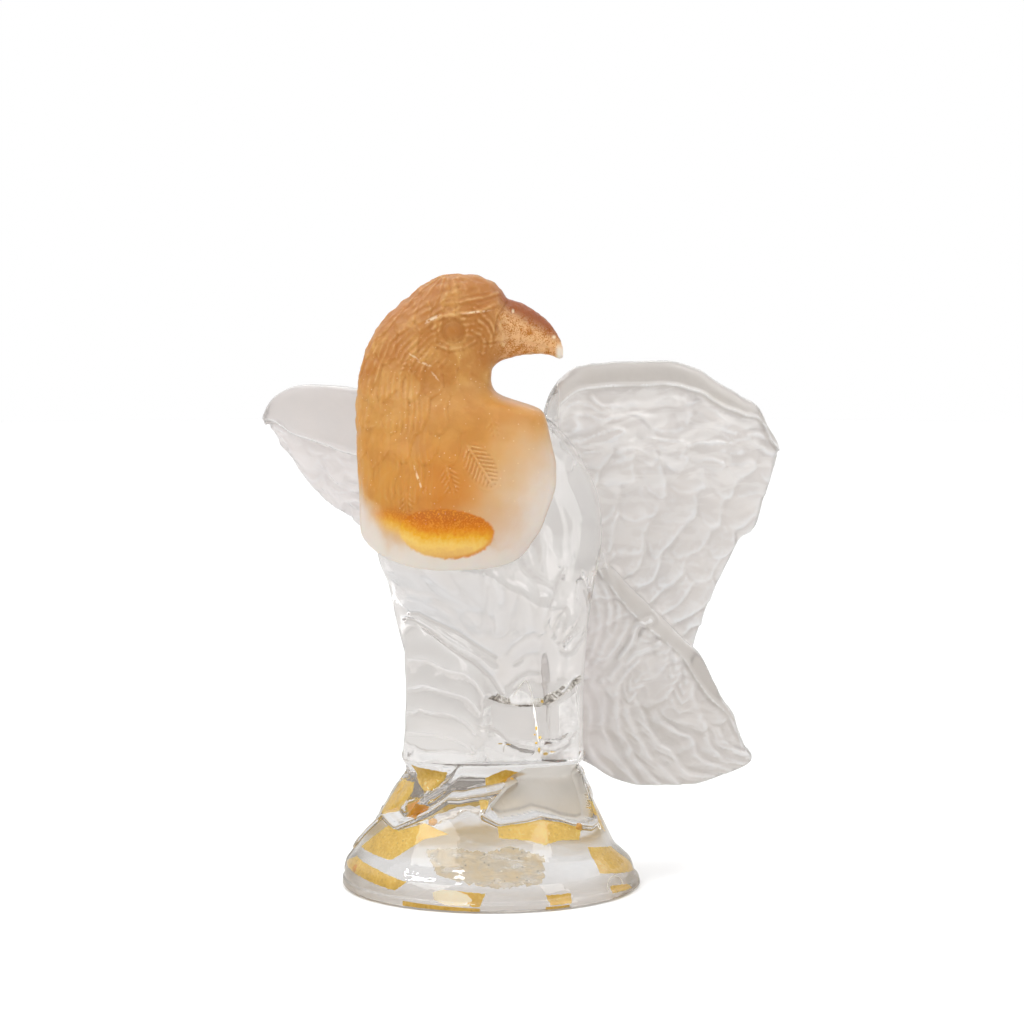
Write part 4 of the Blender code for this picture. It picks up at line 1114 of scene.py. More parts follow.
def ragged(outline, size):
    """The outline in steps of about a millimetre, with its edge torn a little."""
    points = []
    for (ax, az), (bx, bz) in zip(outline, outline[1:] + outline[:1]):
        count = max(1, int(math.hypot((bx - ax) * SKIN_PER_DEGREE, bz - az) / 0.8))
        for i in range(count):
            t = i / count
            x, z = ax + (bx - ax) * t, az + (bz - az) * t
            torn_x, torn_z = noise.noise((x * 0.9, z * 0.9, 1)), noise.noise((x, z, 5))
            points.append((x + size * torn_x, z + size * torn_z))
    return points


def leaf(name, outline, depth=LEAF_DEPTH, thickness=LEAF_THICKNESS, torn=0.5, crumple=0.12, skin=base_skin):
    """A thin closed leaf that follows the base's skin from inside the glass."""
    shape = bmesh.new()
    shape.faces.new([shape.verts.new((x, z, 0)) for x, z in ragged(outline, torn)])
    for axis, spacing in enumerate(LEAF_GRID):
        values = [p[axis] for p in outline]
        direction = Vector((1, 0, 0)) if axis == 0 else Vector((0, 1, 0))
        for at in np.arange(min(values) + spacing, max(values), spacing):
            everything = [*shape.verts, *shape.edges, *shape.faces]
            bmesh.ops.bisect_plane(shape, geom=everything, plane_co=direction * at, plane_no=direction)
    front = list(shape.verts)
    made = bmesh.ops.extrude_face_region(shape, geom=list(shape.faces))
    back = [v for v in made["geom"] if isinstance(v, bmesh.types.BMVert)]
    for verts, under in ((front, depth + thickness), (back, depth)):
        place = np.array([v.co for v in verts])
        crease = np.array([noise.noise((x / 3, z / 2.4, 2)) for x, z, _ in place]) * crumple
        height = np.clip(place[:, 1], LEAF_MARGIN, BASE_HEIGHT / U - LEAF_MARGIN) * U
        spots = skin(np.radians(place[:, 0]), height, (under + crease) * U)
        for vert, spot in zip(verts, spots):
            vert.co = spot
    return new_object(name, mesh_of(shape, name))


def blob(name, centre, radii, axes, rough=0.0):
    """A small smooth drop, flattened along its axes."""
    shape = bmesh.new()
    bmesh.ops.create_uvsphere(shape, u_segments=DROP_SEGMENTS[0], v_segments=DROP_SEGMENTS[1], radius=1.0)
    for vert in shape.verts:
        swell = 1 + rough * noise.noise(vert.co * 2.1 + centre * 400)
        vert.co = centre + sum((a * v * r for a, v, r in zip(axes, vert.co, radii)), Vector()) * swell
    return new_object(name, mesh_of(shape, name))


def sealed_skin(across, height, depth):
    """Points of an upright sheet inside the clear bird. A leaf's outline gives it millimetres as if they were
    degrees, so leaf's radians are turned back."""
    x = np.degrees(across)
    sway = 0.9 * np.array([noise.noise((a / 5, h / U / 5, 4)) for a, h in zip(x, height)])
    return np.column_stack([x * U, (SEALED_DEPTH + sway) * U + depth, height + BASE_HEIGHT])


def thread(name, points, radius):
    """A round thread through the points, at the depth of what is sealed in the bird."""
    points, count = np.array(points, float), THREAD_POINTS
    at = np.linspace(0, len(points) - 1, count)
    path = np.column_stack([pchip(range(len(points)), points[:, i], at) for i in (0, 1)])
    turn = np.linspace(0, 2 * math.pi, THREAD_SIDES, endpoint=False)
    rings = []
    for i, (x, z) in enumerate(path):
        before, after = path[max(i - 1, 0)], path[min(i + 1, count - 1)]
        along = (after - before) / np.linalg.norm(after - before)
        size = radius * (0.7 + 0.3 * math.sin(i * 0.9)) * min(1.0, (i + 1) / 6, (count - i) / 6)
        side, deep = size * np.cos(turn), size * np.sin(turn)
        ring = np.column_stack([x - along[1] * side, SEALED_DEPTH - THREAD_DEPTH + deep, z + along[0] * side])
        rings.append((ring + (0, 0, BASE_HEIGHT / U)) * U)
    shape = bmesh.new()
    add_skin(shape, rings)
    return new_object(name, mesh_of(shape, name))


def ring_in_glass(name, centre, axes, radius, thickness):
    """A thin ring round a centre in the plane of the first two axes."""
    shape = bmesh.new()
    turns, sides = LINE_TURNS, LINE_SIDES
    loops = []
    for i in range(turns):
        a = 2 * math.pi * i / turns
        out = axes[0] * math.cos(a) + axes[1] * math.sin(a)
        loop = []
        for j in range(sides):
            b = 2 * math.pi * j / sides
            place = out * (radius + thickness * math.cos(b)) + axes[2] * thickness * math.sin(b)
            loop.append(shape.verts.new(centre + place))
        loops.append(loop)
    for i in range(turns):
        for j in range(sides):
            k, m = (i + 1) % turns, (j + 1) % sides
            shape.faces.new((loops[i][j], loops[k][j], loops[k][m], loops[i][m]))
    return new_object(name, mesh_of(shape, name))


def skin_axes(angle, height):
    """A point of the base's skin with unit vectors along it, up it and out of it."""
    turn, rise = 0.02, 0.0008
    spots = base_skin(np.array([angle, angle + turn, angle]), np.array([height, height, height + rise]))
    here, beside, above = [Vector(p) for p in spots]
    along = (beside - here).normalized()
    up = (above - here).normalized()
    out = along.cross(up).normalized()
    return here, (along, out.cross(along).normalized(), out)


# Tones of the clear casting and the base, as shares of red, green and blue. Most clear tones paint light and
# shade
CLEAR_TONES = {
    "clear painted valley shade": (0.73, 0.70, 0.675),
    "flat clear": (0.88, 0.853, 0.832),
    "satin painted valley shade": (0.765, 0.725, 0.695),
    "flat satin": (0.83, 0.787, 0.757),
    # painted highlight on the ridges
    "ridge": (0.99, 0.985, 0.98),
    "painted light patch": (0.99, 0.96, 0.93),
    "smooth band": (0.70, 0.658, 0.615),
    # painted shade on the clear shoulder
    "shoulder": (0.835, 0.813, 0.795),
    # painted light on the clear left foot
    "foot": (1.0, 0.985, 0.97),
    "rosy painted light": (0.94, 0.885, 0.875),
    "painted lip highlight": (0.99, 0.98, 0.965),
    "painted cool refraction": (0.915, 0.93, 0.95),
    "painted warm refraction": (1.0, 0.99, 0.98),
    "low skirt": (0.87, 0.80, 0.73),
}
# Tones of the amber casting. Some paint light: shade in creases and along the turned edge, highlights on
# ridges, glints and sparkle
AMBER_TONES = {
    "golden streak": (0.76, 0.46, 0.14),
    "brown streak": (0.47, 0.175, 0.028),
    "crown": (0.46, 0.185, 0.035),
    "inner veil": (0.62, 0.22, 0.015),
    "painted edge shade": (0.65, 0.38, 0.20),
    # painted shade in the creases and a painted highlight on the ridges
    "crease": (0.40, 0.145, 0.020),
    "ridge": (0.86, 0.56, 0.26),
    "lens grain": (0.88, 0.42, 0.03),
    "lens rim": (0.68, 0.22, 0.010),
    "beak grain": (0.50, 0.17, 0.020),
    "beak bloom": (0.88, 0.58, 0.29),
    "beak ridge": (0.27, 0.050, 0.001),
    "beak tip": (0.88, 0.80, 0.68),
    "eye ring": (0.34, 0.10, 0.010),
    # painted glints, then painted sparkle
    "fleck": (0.98, 0.82, 0.60),
    "painted sparkle": (0.98, 0.80, 0.50),
}
# The amber from the foot of the breast to the crown, from its deep side to its pale one, and up the lens
AMBER_BY_HEIGHT = [(0.0, (0.66, 0.315, 0.055)), (0.45, (0.65, 0.33, 0.080)), (1.0, (0.50, 0.215, 0.050))]
AMBER_FADING = [
    (0.0, (0.65, 0.30, 0.055)), (0.28, (0.71, 0.42, 0.160)), (0.55, (0.71, 0.49, 0.27)),
    (0.78, (0.74, 0.575, 0.41)), (1.0, (0.81, 0.775, 0.725)),
]
HONEY_BY_HEIGHT = [
    (0.0, (0.80, 0.50, 0.15)), (0.16, (0.93, 0.67, 0.18)), (0.40, (0.86, 0.48, 0.025)),
    (0.58, (0.74, 0.25, 0.004)), (0.82, (0.58, 0.155, 0.004)), (1.0, (0.54, 0.17, 0.012)),
]
# Ovals seen from the front in the amber: distance along X, height, half width, height above and below the
# middle, tilt in radians and softness
INNER_VEIL = (-20, 135, 26, 30, 16, 0.25, 0.95)
HONEY_LENS = (-21.5, 117.2, 24.5, 11.2, 13.8, -0.05, 0.10)
LENS_TAIL = (-43, 121, 20, 8.5, 8.5, -0.15, 0.75)
EYE_OVAL = (*EYE, 5.4, 5.0, 5.0, 0.0, 0.25)
# Tones of the gold and silver leaf
LEAF_TONES = {
    "gold shade": (0.66, 0.39, 0.030),
    "gold light": (0.94, 0.66, 0.12),
    "gold glint": (1.0, 0.83, 0.36),
    "gold tarnish": (0.44, 0.25, 0.03),
    "gold speck": (0.13, 0.08, 0.04),
    "worn": (0.66, 0.57, 0.42),
    "worn speck": (0.06, 0.05, 0.03),
}
SILVER_GRAINS = [
    (0.0, (0.10, 0.08, 0.06)), (0.25, (0.42, 0.38, 0.32)), (0.55, (0.70, 0.67, 0.62)),
    (1.0, (0.98, 0.97, 0.95)),
]


class Wiring:
    """Places and joins shader nodes in one tree."""

    def __init__(self, tree):
        self.tree = tree

    def add(self, kind, inputs=None, **settings):
        """One shader node, with its inputs given by name or number."""
        node = self.tree.nodes.new("ShaderNode" + kind)
        for key, value in settings.items():
            setattr(node, key, value)
        for key, value in (inputs or {}).items():
            self.feed(node.inputs[key], value)
        return node

    def feed(self, socket, value):
        """Joins a socket to another, or sets its value. A colour is given as red, green and blue."""
        if isinstance(value, bpy.types.NodeSocket):
            self.tree.links.new(value, socket)
        elif socket.type == "RGBA":
            socket.default_value = (*value, 1)
        else:
            socket.default_value = value

    def fill(self, node, **values):
        """Feeds a node's inputs by their names and gives its outputs."""
        for key, value in values.items():
            self.feed(node.inputs[key.replace("_", " ").title().replace("Ior", "IOR")], value)
        return node.outputs

    def math(self, operation, first, second=0.0, clamp=False):
        return self.add("Math", {0: first, 1: second}, operation=operation, use_clamp=clamp).outputs[0]

    def total(self, first, *others):
        for other in others:
            first = self.math("ADD", first, other)
        return first

    def product(self, first, *others):
        for other in others:
            first = self.math("MULTIPLY", first, other)
        return first

    def parts(self, vector):
        """The X, Y and Z of a vector."""
        return self.add("SeparateXYZ", {0: vector}).outputs

    def stretched(self, place, factors):
        return self.add("VectorMath", {0: place, 1: factors}, operation="MULTIPLY").outputs[0]

    def noise(self, place, scale, detail, roughness=0.5, distortion=0.0):
        node = self.add("TexNoise", {"Vector": place, "Scale": scale, "Detail": detail})
        return self.fill(node, roughness=roughness, distortion=distortion)["Fac"]

    def swing(self, noise, size):
        """Noise as a number that swings round zero by about that size."""
        return self.math("MULTIPLY", self.math("SUBTRACT", noise, 0.5), size)

    def point_value(self, name):
        """A value that the mesh's points carry."""
        return self.add("Attribute", attribute_type="GEOMETRY", attribute_name=name).outputs["Fac"]

    def ramp(self, factor, stops):
        node = self.add("ValToRGB", {"Fac": factor})
        elements = node.color_ramp.elements
        while len(elements) < len(stops):
            elements.new(1.0)
        for element, (position, colour) in zip(elements, stops):
            element.position = position
            element.color = (*colour, 1)
        return node.outputs["Color"]

    def between(self, value, low, high, start=0.0, end=1.0):
        """Maps low to start and high to end, smoothly, and holds them outside."""
        keys = {"Value": value, "From Min": low, "From Max": high, "To Min": start, "To Max": end}
        return self.add("MapRange", keys, interpolation_type="SMOOTHSTEP").outputs["Result"]

    def blend(self, factor, first, second, kind="MIX"):
        node = self.add("Mix", data_type="RGBA", blend_type=kind)
        for number, value in ((0, factor), (6, first), (7, second)):
            self.feed(node.inputs[number], value)
        return node.outputs[2]

    def tint(self, colour, tone, *masks):
        """The colour with the tone over it, as strong as the product of the masks."""
        return self.blend(self.product(*masks), colour, tone)

    def mix_values(self, factor, first, second):
        return self.add("Mix", {0: factor, 2: first, 3: second}, data_type="FLOAT").outputs[0]


def new_group(name, numbers, outputs):
    """A shader node group of a position and some numbers. Gives its wiring, its inputs and its last node."""
    tree = bpy.data.node_groups.new(name, "ShaderNodeTree")
    tree.interface.new_socket("Position", in_out="INPUT", socket_type="NodeSocketVector")
    for label, value in numbers.items():
        tree.interface.new_socket(label, in_out="INPUT", socket_type="NodeSocketFloat").default_value = value
    for label, kind in outputs.items():
        tree.interface.new_socket(label, in_out="OUTPUT", socket_type="NodeSocket" + kind)
    return Wiring(tree), tree.nodes.new("NodeGroupInput").outputs, tree.nodes.new("NodeGroupOutput")


def cast_skin_group():
    """The faint unevenness of a cast or polished glass skin, as a normal, and a cloudy mask."""
    w, given, out = new_group(
        "cast_skin",
        {"Wave Size": 0.02, "Grain Size": 0.0008, "Wave Depth": 0.0002, "Grain Depth": 0.00002},
        {"Normal": "Vector", "Cloud": "Float"},
    )
    wave = w.noise(given["Position"], w.math("DIVIDE", 1.0, given["Wave Size"]), 3.0)
    grain = w.noise(given["Position"], w.math("DIVIDE", 1.0, given["Grain Size"]), 2.0)
    height = w.total(w.product(wave, given["Wave Depth"]), w.product(grain, given["Grain Depth"]))
    bump = w.add("Bump", {"Strength": 1.0, "Distance": 1.0, "Height": height})
    w.fill(out, normal=bump.outputs["Normal"], cloud=wave)
    return w.tree


def speckle_group():
    """Small scattered specks, as a mask."""
    w, given, out = new_group("speckle", {"Spacing": 0.002, "Speck Share": 0.2}, {"Mask": "Float"})
    scale = w.math("DIVIDE", 1.0, given["Spacing"])
    cells = w.add("TexVoronoi", {"Vector": given["Position"], "Scale": scale})
    edge = w.product(given["Speck Share"], 0.6)
    mask = w.between(cells.outputs["Distance"], edge, given["Speck Share"], 1.0, 0.0)
    chosen = w.add("SeparateColor", {"Color": cells.outputs["Color"]}).outputs["Red"]
    w.fill(out, mask=w.product(mask, w.math("GREATER_THAN", chosen, 0.55)))
    return w.tree


def oval_group():
    """A soft-edged oval seen from the front, as a mask, and the distance from its middle in radii."""
    sizes = {"Half Width": 0.01, "Height Above": 0.01, "Height Below": 0.01}
    numbers = {"Across": 0.0, "Up": 0.0, **sizes, "Tilt": 0.0, "Softness": 0.2}
    w, given, out = new_group("oval_mask", numbers, {"Mask": "Float", "Radii": "Float"})
    place = w.parts(given["Position"])
    x = w.math("SUBTRACT", place["X"], given["Across"])
    z = w.math("SUBTRACT", place["Z"], given["Up"])
    cosine, sine = w.math("COSINE", given["Tilt"]), w.math("SINE", given["Tilt"])
    turned_x = w.total(w.product(x, cosine), w.product(z, sine))
    turned_z = w.math("SUBTRACT", w.product(z, cosine), w.product(x, sine))
    upper = w.math("GREATER_THAN", turned_z, 0.0)
    half_height = w.mix_values(upper, given["Height Below"], given["Height Above"])
    across = w.math("DIVIDE", turned_x, given["Half Width"])
    up = w.math("DIVIDE", turned_z, half_height)
    radii = w.math("SQRT", w.total(w.product(across, across), w.product(up, up)))
    edge = w.math("SUBTRACT", 1.0, given["Softness"])
    w.fill(out, mask=w.between(radii, edge, 1.0, 1.0, 0.0), radii=radii)
    return w.tree


GROUPS = {"cast_skin": cast_skin_group(), "speckle": speckle_group(), "oval": oval_group()}


def placed(w, group, **values):
    """A node group in a material, with its values given by socket name."""
    return w.fill(w.add("Group", node_tree=GROUPS[group]), **values)


def cast_skin(w, position, wave_size, wave_depth, grain_size, grain_depth):
    """The unevenness of a glass skin, from the size and depth of its waves and grains in millimetres."""
    return placed(w, "cast_skin", position=position, wave_size=wave_size * U, wave_depth=wave_depth * U,
                  grain_size=grain_size * U, grain_depth=grain_depth * U)


def oval_in_bird(w, position, across, up, half_width, above, below, tilt, softness):
    """An oval mask on the bird, in its own units."""
    middle = {"across": across * U, "up": BASE_HEIGHT + up * U}
    size = {"half_width": half_width * U, "height_above": above * U, "height_below": below * U}
    return placed(w, "oval", position=position, **middle, **size, tilt=tilt, softness=softness)


def new_material(name, **values):
    """A material with one Principled shader. Values are set on its own sockets."""
    made = bpy.data.materials.new(name)
    made.use_nodes = True
    w = Wiring(made.node_tree)
    shader = made.node_tree.nodes["Principled BSDF"]
    w.fill(shader, **values)
    return made, w, shader, w.add("TexCoord").outputs["Object"]


def clear_crystal(name, transmission, valley_shade, flat, satin_roughness):
    """Clear cast glass. Its points say where it is satin, and where the smooth bands of the wings lie. Its
    colour paints shade in the hollows and on the bands, and highlights on ridges and lips.
    """
    made, w, shader, position = new_material(name, metallic=0.0, ior=1.5, transmission_weight=transmission)
    tones = CLEAR_TONES
    skin = cast_skin(w, position, 16, 0.5, 1.2, 0.005)
    x, _, z = w.parts(position)
    satin, band = w.point_value("satin"), w.point_value("smooth_band")
    unfrosted = w.math("SUBTRACT", 1.0, satin)
    relief = w.add("NewGeometry").outputs["Pointiness"]

    # Painted shade in the hollows and painted highlights on the ridges, by the relief
    colour = w.ramp(w.between(relief, 0.46, 0.54), [(0.0, valley_shade), (0.5, flat), (1.0, tones["ridge"])])
    # Patches of painted light on the satin, stronger higher up
    patches = w.noise(w.stretched(position, (0.6, 1.0, 1.5)), 80.0, 2.0, distortion=0.9)
    more_above = w.between(z, 0.175, 0.215, 0.42, 0.85)
    colour = w.tint(colour, tones["painted light patch"], satin, w.between(patches, 0.47, 0.60), more_above)
    # Painted shade on the smooth bands and on the satin's downturned lower edges
    colour = w.tint(colour, tones["smooth band"], band)
    # Painted shade on the clear shoulder beside the bust
    shoulder = w.product(w.between(x, 0.022, 0.036), w.between(z, 0.145, 0.170))
    colour = w.tint(colour, tones["shoulder"], shoulder, unfrosted)
    # Painted light: the clear glass low on the left foot is lightened
    left_foot = w.product(w.between(z, 0.092, 0.074), w.between(x, 0.0, -0.010))
    colour = w.tint(colour, tones["foot"], left_foot, unfrosted, 0.8)
    # Painted light with a rosy tint: lifts the satin of the left wing, and of the tail beside the body where
    # the body shades it
    left_wing = w.between(x, -0.020, -0.050, 0.0, 0.50)
    beside_body = w.product(w.between(x, 0.072, 0.045), w.between(z, 0.140, 0.120), 0.6)
    colour = w.tint(colour, tones["rosy painted light"], satin, w.math("MAXIMUM", left_wing, beside_body))
    # A painted highlight along the rolled lips of the smooth bands
    colour = w.tint(colour, tones["painted lip highlight"], band, w.between(relief, 0.515, 0.55))
    # Clouds of cool and warm tint, painted to stand for coloured light refracted in the glass
    painted_refraction_tint = w.blend(skin["Cloud"], tones["painted cool refraction"], tones["painted warm refraction"])

    rough = w.mix_values(satin, 0.11, satin_roughness)
    w.fill(
        shader,
        base_color=w.blend(1.0, colour, painted_refraction_tint, "MULTIPLY"),
        roughness=w.math("ADD", rough, w.swing(skin["Cloud"], 0.08), clamp=True),
        coat_weight=w.product(satin, w.between(relief, 0.48, 0.56, 0.15, 1.0)),
        coat_roughness=0.12,
        normal=skin["Normal"],
    )
    return made


def bonded_joint():
    """Where two glass pieces are bonded, light goes straight through."""
    made, w, shader, position = new_material(
        "bonded_joint", metallic=0.0, ior=1.0, transmission_weight=1.0, roughness=0.0
    )
    skin = placed(w, "cast_skin", position=position)
    w.fill(shader, base_color=w.blend(skin["Cloud"], (0.985, 0.985, 0.985), (1.0, 1.0, 1.0)))
    return made


def base_crystal(name, transmission, low, high, roughness):
    """Glass of the base, a little frosted on its underside and warmer low in its skirt."""
    made, w, shader, position = new_material(name, metallic=0.0, ior=1.5, transmission_weight=transmission)
    skin = cast_skin(w, position, 22, 0.9, 4, 0.04)
    _, _, z = w.parts(position)
    underside = w.between(z, 0.0003, 0.0006, 1.0, 0.0)
    low_skirt = w.between(z, 0.016, 0.007, 0.0, 0.9)
    w.fill(
        shader,
        base_color=w.tint(w.blend(skin["Cloud"], low, high), CLEAR_TONES["low skirt"], low_skirt),
        roughness=w.mix_values(underside, roughness, 0.35),
        normal=skin["Normal"],
    )
    return made


def pale_side(w, x, z, drift):
    """How far places of the amber lie beyond the slanting line where it turns pale, in metres."""
    slant = w.math("SUBTRACT", w.product(x, 0.85), w.product(z, 0.53))
    shoulder = w.product(w.between(z, 0.150, 0.176), w.between(x, 0.002, 0.028), 0.022)
    beyond = w.math("SUBTRACT", w.total(slant, 0.0845, drift), shoulder)
    left_fall = w.math("MINIMUM", w.product(w.total(x, 0.050), 1.3), 0.0)
    foot = w.between(w.total(z, left_fall, drift), 0.102, 0.136, 0.040, -0.030)
    return w.math("MAXIMUM", beyond, foot)


def amber_ground(w, position, x, z, drift):
    """The amber's own colour, deep on the head and paler beyond the slanting line, with streaks."""
    beyond = pale_side(w, x, z, drift)
    deep = w.ramp(w.between(w.total(z, drift), 0.130, 0.225), AMBER_BY_HEIGHT)
    fading = w.ramp(w.between(beyond, -0.014, 0.044), AMBER_FADING)
    colour = w.blend(w.between(beyond, -0.018, 0.004), deep, fading)
    streaks = w.noise(position, 70.0, 6.0, 0.62, 0.5)
    on_head = w.between(z, 0.165, 0.205)
    mottled = w.product(w.mix_values(on_head, 0.32, 0.62), w.between(beyond, 0.010, -0.014))
    colour = w.tint(colour, AMBER_TONES["golden streak"], w.between(streaks, 0.53, 0.70), mottled)
    colour = w.tint(colour, AMBER_TONES["brown streak"], w.between(streaks, 0.54, 0.38), mottled)
    return w.tint(colour, AMBER_TONES["crown"], w.between(z, 0.222, 0.238), 0.55)


def amber_painted_shading(w, z, colour):
    """Painted shade in the creases, painted highlights on the ridges, and a painted darker, browner edge
    where the casting turns away.
    """
    geometry = w.add("NewGeometry").outputs
    facing = w.math("ABSOLUTE", w.parts(geometry["Normal"])["Y"])
    below_head = w.between(z, 0.215, 0.190)
    # A painted darker edge where the casting turns away from the front
    colour = w.tint(colour, AMBER_TONES["painted edge shade"], w.between(facing, 0.30, 0.04), below_head, 0.55)
    relief = geometry["Pointiness"]
    # Painted shade in the creases and painted highlights on the ridges
    carved = w.between(z, 0.100, 0.135, 0.3, 1.0)
    colour = w.tint(colour, AMBER_TONES["crease"], w.between(relief, 0.497, 0.468, 0.0, 0.45), carved)
    return w.tint(colour, AMBER_TONES["ridge"], w.between(relief, 0.503, 0.540, 0.0, 0.45), carved)


def honey_lens(w, position, x, z, torn, colour):
    """The lens of deeper orange low in the breast, with a torn edge and a tail to its left."""
    tear = w.swing(torn, 0.007)
    lens = oval_in_bird(w, position, *HONEY_LENS)
    tail = oval_in_bird(w, position, *LENS_TAIL)
    body = w.between(w.total(lens["Radii"], w.product(tear, 22.0)), 0.90, 1.0, 1.0, 0.0)
    whole = w.math("MAXIMUM", body, w.product(tail["Mask"], 0.8))
    level = w.math("SUBTRACT", w.total(z, tear), w.between(x, -0.030, -0.052, 0.0, 0.007))
    honey = w.ramp(w.between(level, 0.1035, 0.129), HONEY_BY_HEIGHT)
    grains = w.between(w.noise(position, 1100.0, 2.0), 0.50, 0.62)
    honey = w.tint(honey, AMBER_TONES["lens grain"], grains, w.between(z, 0.112, 0.122), 0.6)
    rim = w.product(w.between(lens["Radii"], 0.82, 0.96), w.between(x, -0.030, -0.012))
    honey = w.tint(honey, AMBER_TONES["lens rim"], rim, 0.8)
    return w.tint(colour, honey, whole)


def grainy_beak(w, position, x, z, colour):
    """The beak: brown with a pale bloom, a dark ridge along its top and a pale tip."""
    grains, patches = w.noise(position, 1500.0, 3.0), w.noise(position, 260.0, 3.0)
    bloom = w.between(w.total(grains, w.product(patches, 0.8)), 0.74, 1.00)
    beak = w.blend(bloom, AMBER_TONES["beak grain"], AMBER_TONES["beak bloom"])
    ridge = w.between(w.total(z, w.product(x, 0.55)), 0.223, 0.231)
    beak = w.tint(beak, AMBER_TONES["beak ridge"], ridge, 0.95)
    colour = w.tint(colour, beak, w.between(x, 0.000, 0.009), w.between(z, 0.190, 0.200), 0.9)
    return w.tint(colour, AMBER_TONES["beak tip"], w.between(x, 0.0310, 0.0335), w.between(z, 0.207, 0.203))


def eye_and_painted_glints(w, position, z, torn, colour):
    """The dark ring of the eye, painted glints in the glass, and painted sparkle specks down the neck."""
    eye = oval_in_bird(w, position, *EYE_OVAL)
    off_pupil = w.between(eye["Radii"], 0.45, 0.72, 0.02, 0.28)
    colour = w.tint(colour, AMBER_TONES["eye ring"], eye["Mask"], off_pupil)
    torn_edge = w.between(torn, 0.38, 0.54)
    # Painted glints on the brow, face, neck and beak
    for across, up, half_width, half_height, tilt, strength in PAINTED_GLINTS:
        turn = math.radians(tilt)
        fleck = oval_in_bird(w, position, across, up, half_width, half_height, half_height, turn, 0.8)
        masks = [fleck["Mask"], strength] if strength > 0.8 else [fleck["Mask"], torn_edge, strength]
        colour = w.tint(colour, AMBER_TONES["fleck"], *masks)
    # Painted sparkle specks down the neck
    sparks = placed(w, "speckle", position=position, spacing=0.0024, speck_share=0.17)
    neck = w.product(w.between(z, 0.112, 0.135), w.between(z, 0.218, 0.195))
    return w.tint(colour, AMBER_TONES["painted sparkle"], sparks["Mask"], neck, 0.5)


def amber_crystal():
    """Satin amber glass: deep on head and neck, fading to pale pink at the lower right, with a honey lens."""
    made, w, shader, position = new_material(
        "amber_cast_crystal",
        metallic=0.0,
        ior=1.45,
        specular_ior_level=0.12,
        transmission_weight=0.45,
        subsurface_weight=0.5,
        subsurface_radius=(0.012, 0.007, 0.004),
        subsurface_scale=1.0,
    )
    x, _, above_floor = w.parts(position)
    z = w.math("SUBTRACT", above_floor, BASE_HEIGHT)
    skin = cast_skin(w, position, 12, 0.2, 0.7, 0.05)
    torn = w.noise(position, 520.0, 4.0)
    colour = amber_ground(w, position, x, z, w.swing(skin["Cloud"], 0.016))
    colour = w.tint(colour, AMBER_TONES["inner veil"], oval_in_bird(w, position, *INNER_VEIL)["Mask"], 0.7)
    colour = amber_painted_shading(w, z, colour)
    colour = honey_lens(w, position, x, z, torn, colour)
    colour = grainy_beak(w, position, x, z, colour)
    colour = eye_and_painted_glints(w, position, z, torn, colour)
    rough = w.mix_values(skin["Cloud"], 0.34, 0.44)
    w.fill(shader, base_color=colour, roughness=rough, normal=skin["Normal"])
    return made


def gold_leaf(name, worn):
    """Gold leaf, crumpled and speckled, with a faint painted glow. Worn leaf lets pale glass through."""
    made, w, shader, position = new_material(name, metallic=0.05 if worn else 0.25, specular_ior_level=0.5)
    skin = cast_skin(w, position, 6, 0.4, 0.9, 0.1)
    grains = w.noise(position, 750.0, 3.0, 0.7)
    colour = w.blend(skin["Cloud"], LEAF_TONES["gold shade"], LEAF_TONES["gold light"])
    colour = w.tint(colour, LEAF_TONES["gold glint"], w.between(grains, 0.52, 0.72, 0.0, 0.55))
    colour = w.tint(colour, LEAF_TONES["gold tarnish"], w.between(grains, 0.46, 0.30, 0.0, 0.45))
    spacing, share = (0.0023, 0.20) if worn else (0.0030, 0.16)
    specks = placed(w, "speckle", position=position, spacing=spacing, speck_share=share)["Mask"]
    colour = w.tint(colour, LEAF_TONES["gold speck"], specks, 0.35)
    if worn:
        rubbed = w.between(w.noise(position, 160.0, 5.0, 0.7), 0.38, 0.62)
        colour = w.tint(colour, LEAF_TONES["worn"], w.mix_values(rubbed, 0.7, 1.0))
        colour = w.tint(colour, LEAF_TONES["worn speck"], specks)
        streaky = w.noise(w.stretched(position, (0.35, 1.0, 1.3)), 210.0, 4.0, 0.65)
        w.fill(shader, alpha=w.math("MAXIMUM", w.between(streaky, 0.34, 0.58, 0.30, 0.72), specks))
    rough = w.mix_values(skin["Cloud"], 0.35, 0.55)
    # The faint glow is painted light
    w.fill(shader, base_color=colour, emission_color=colour, emission_strength=0.16, roughness=rough)
    w.fill(shader, normal=skin["Normal"])
    return made


def silvered_leaf_and_painted_shade():
    """The dark silvery leaf between the legs: brown and silver grains with bright flakes, and a painted glow.
    It also paints the shade of the gap under the crescent.
    """
    made, w, shader, position = new_material("silvered_leaf_and_painted_shade", metallic=0.1, specular_ior_level=0.6)
    grains, patches = w.noise(position, 900.0, 4.0, 0.7), w.noise(position, 210.0, 2.0)
    mixed = w.total(grains, w.swing(patches, 0.9))
    colour = w.ramp(w.between(mixed, 0.32, 0.68), SILVER_GRAINS)
    rough = w.mix_values(grains, 0.25, 0.5)
    # The glow is painted light
    w.fill(shader, base_color=colour, emission_color=colour, emission_strength=0.30, roughness=rough)
    return made


def milky_veil_and_painted_light():
    """A thin white veil in the glass, denser in places, with a painted glow."""
    made, w, shader, position = new_material("milky_veil_and_painted_light", metallic=0.0)
    clouds = w.noise(position, 120.0, 3.0)
    w.fill(
        shader,
        base_color=w.blend(clouds, (0.86, 0.85, 0.84), (0.98, 0.98, 0.98)),
        emission_color=w.blend(clouds, (0.80, 0.80, 0.80), (1.0, 1.0, 1.0)),
        # The glow is painted light
        emission_strength=0.35,
        alpha=w.between(clouds, 0.35, 0.65, 0.30, 0.65),
    )
    return made


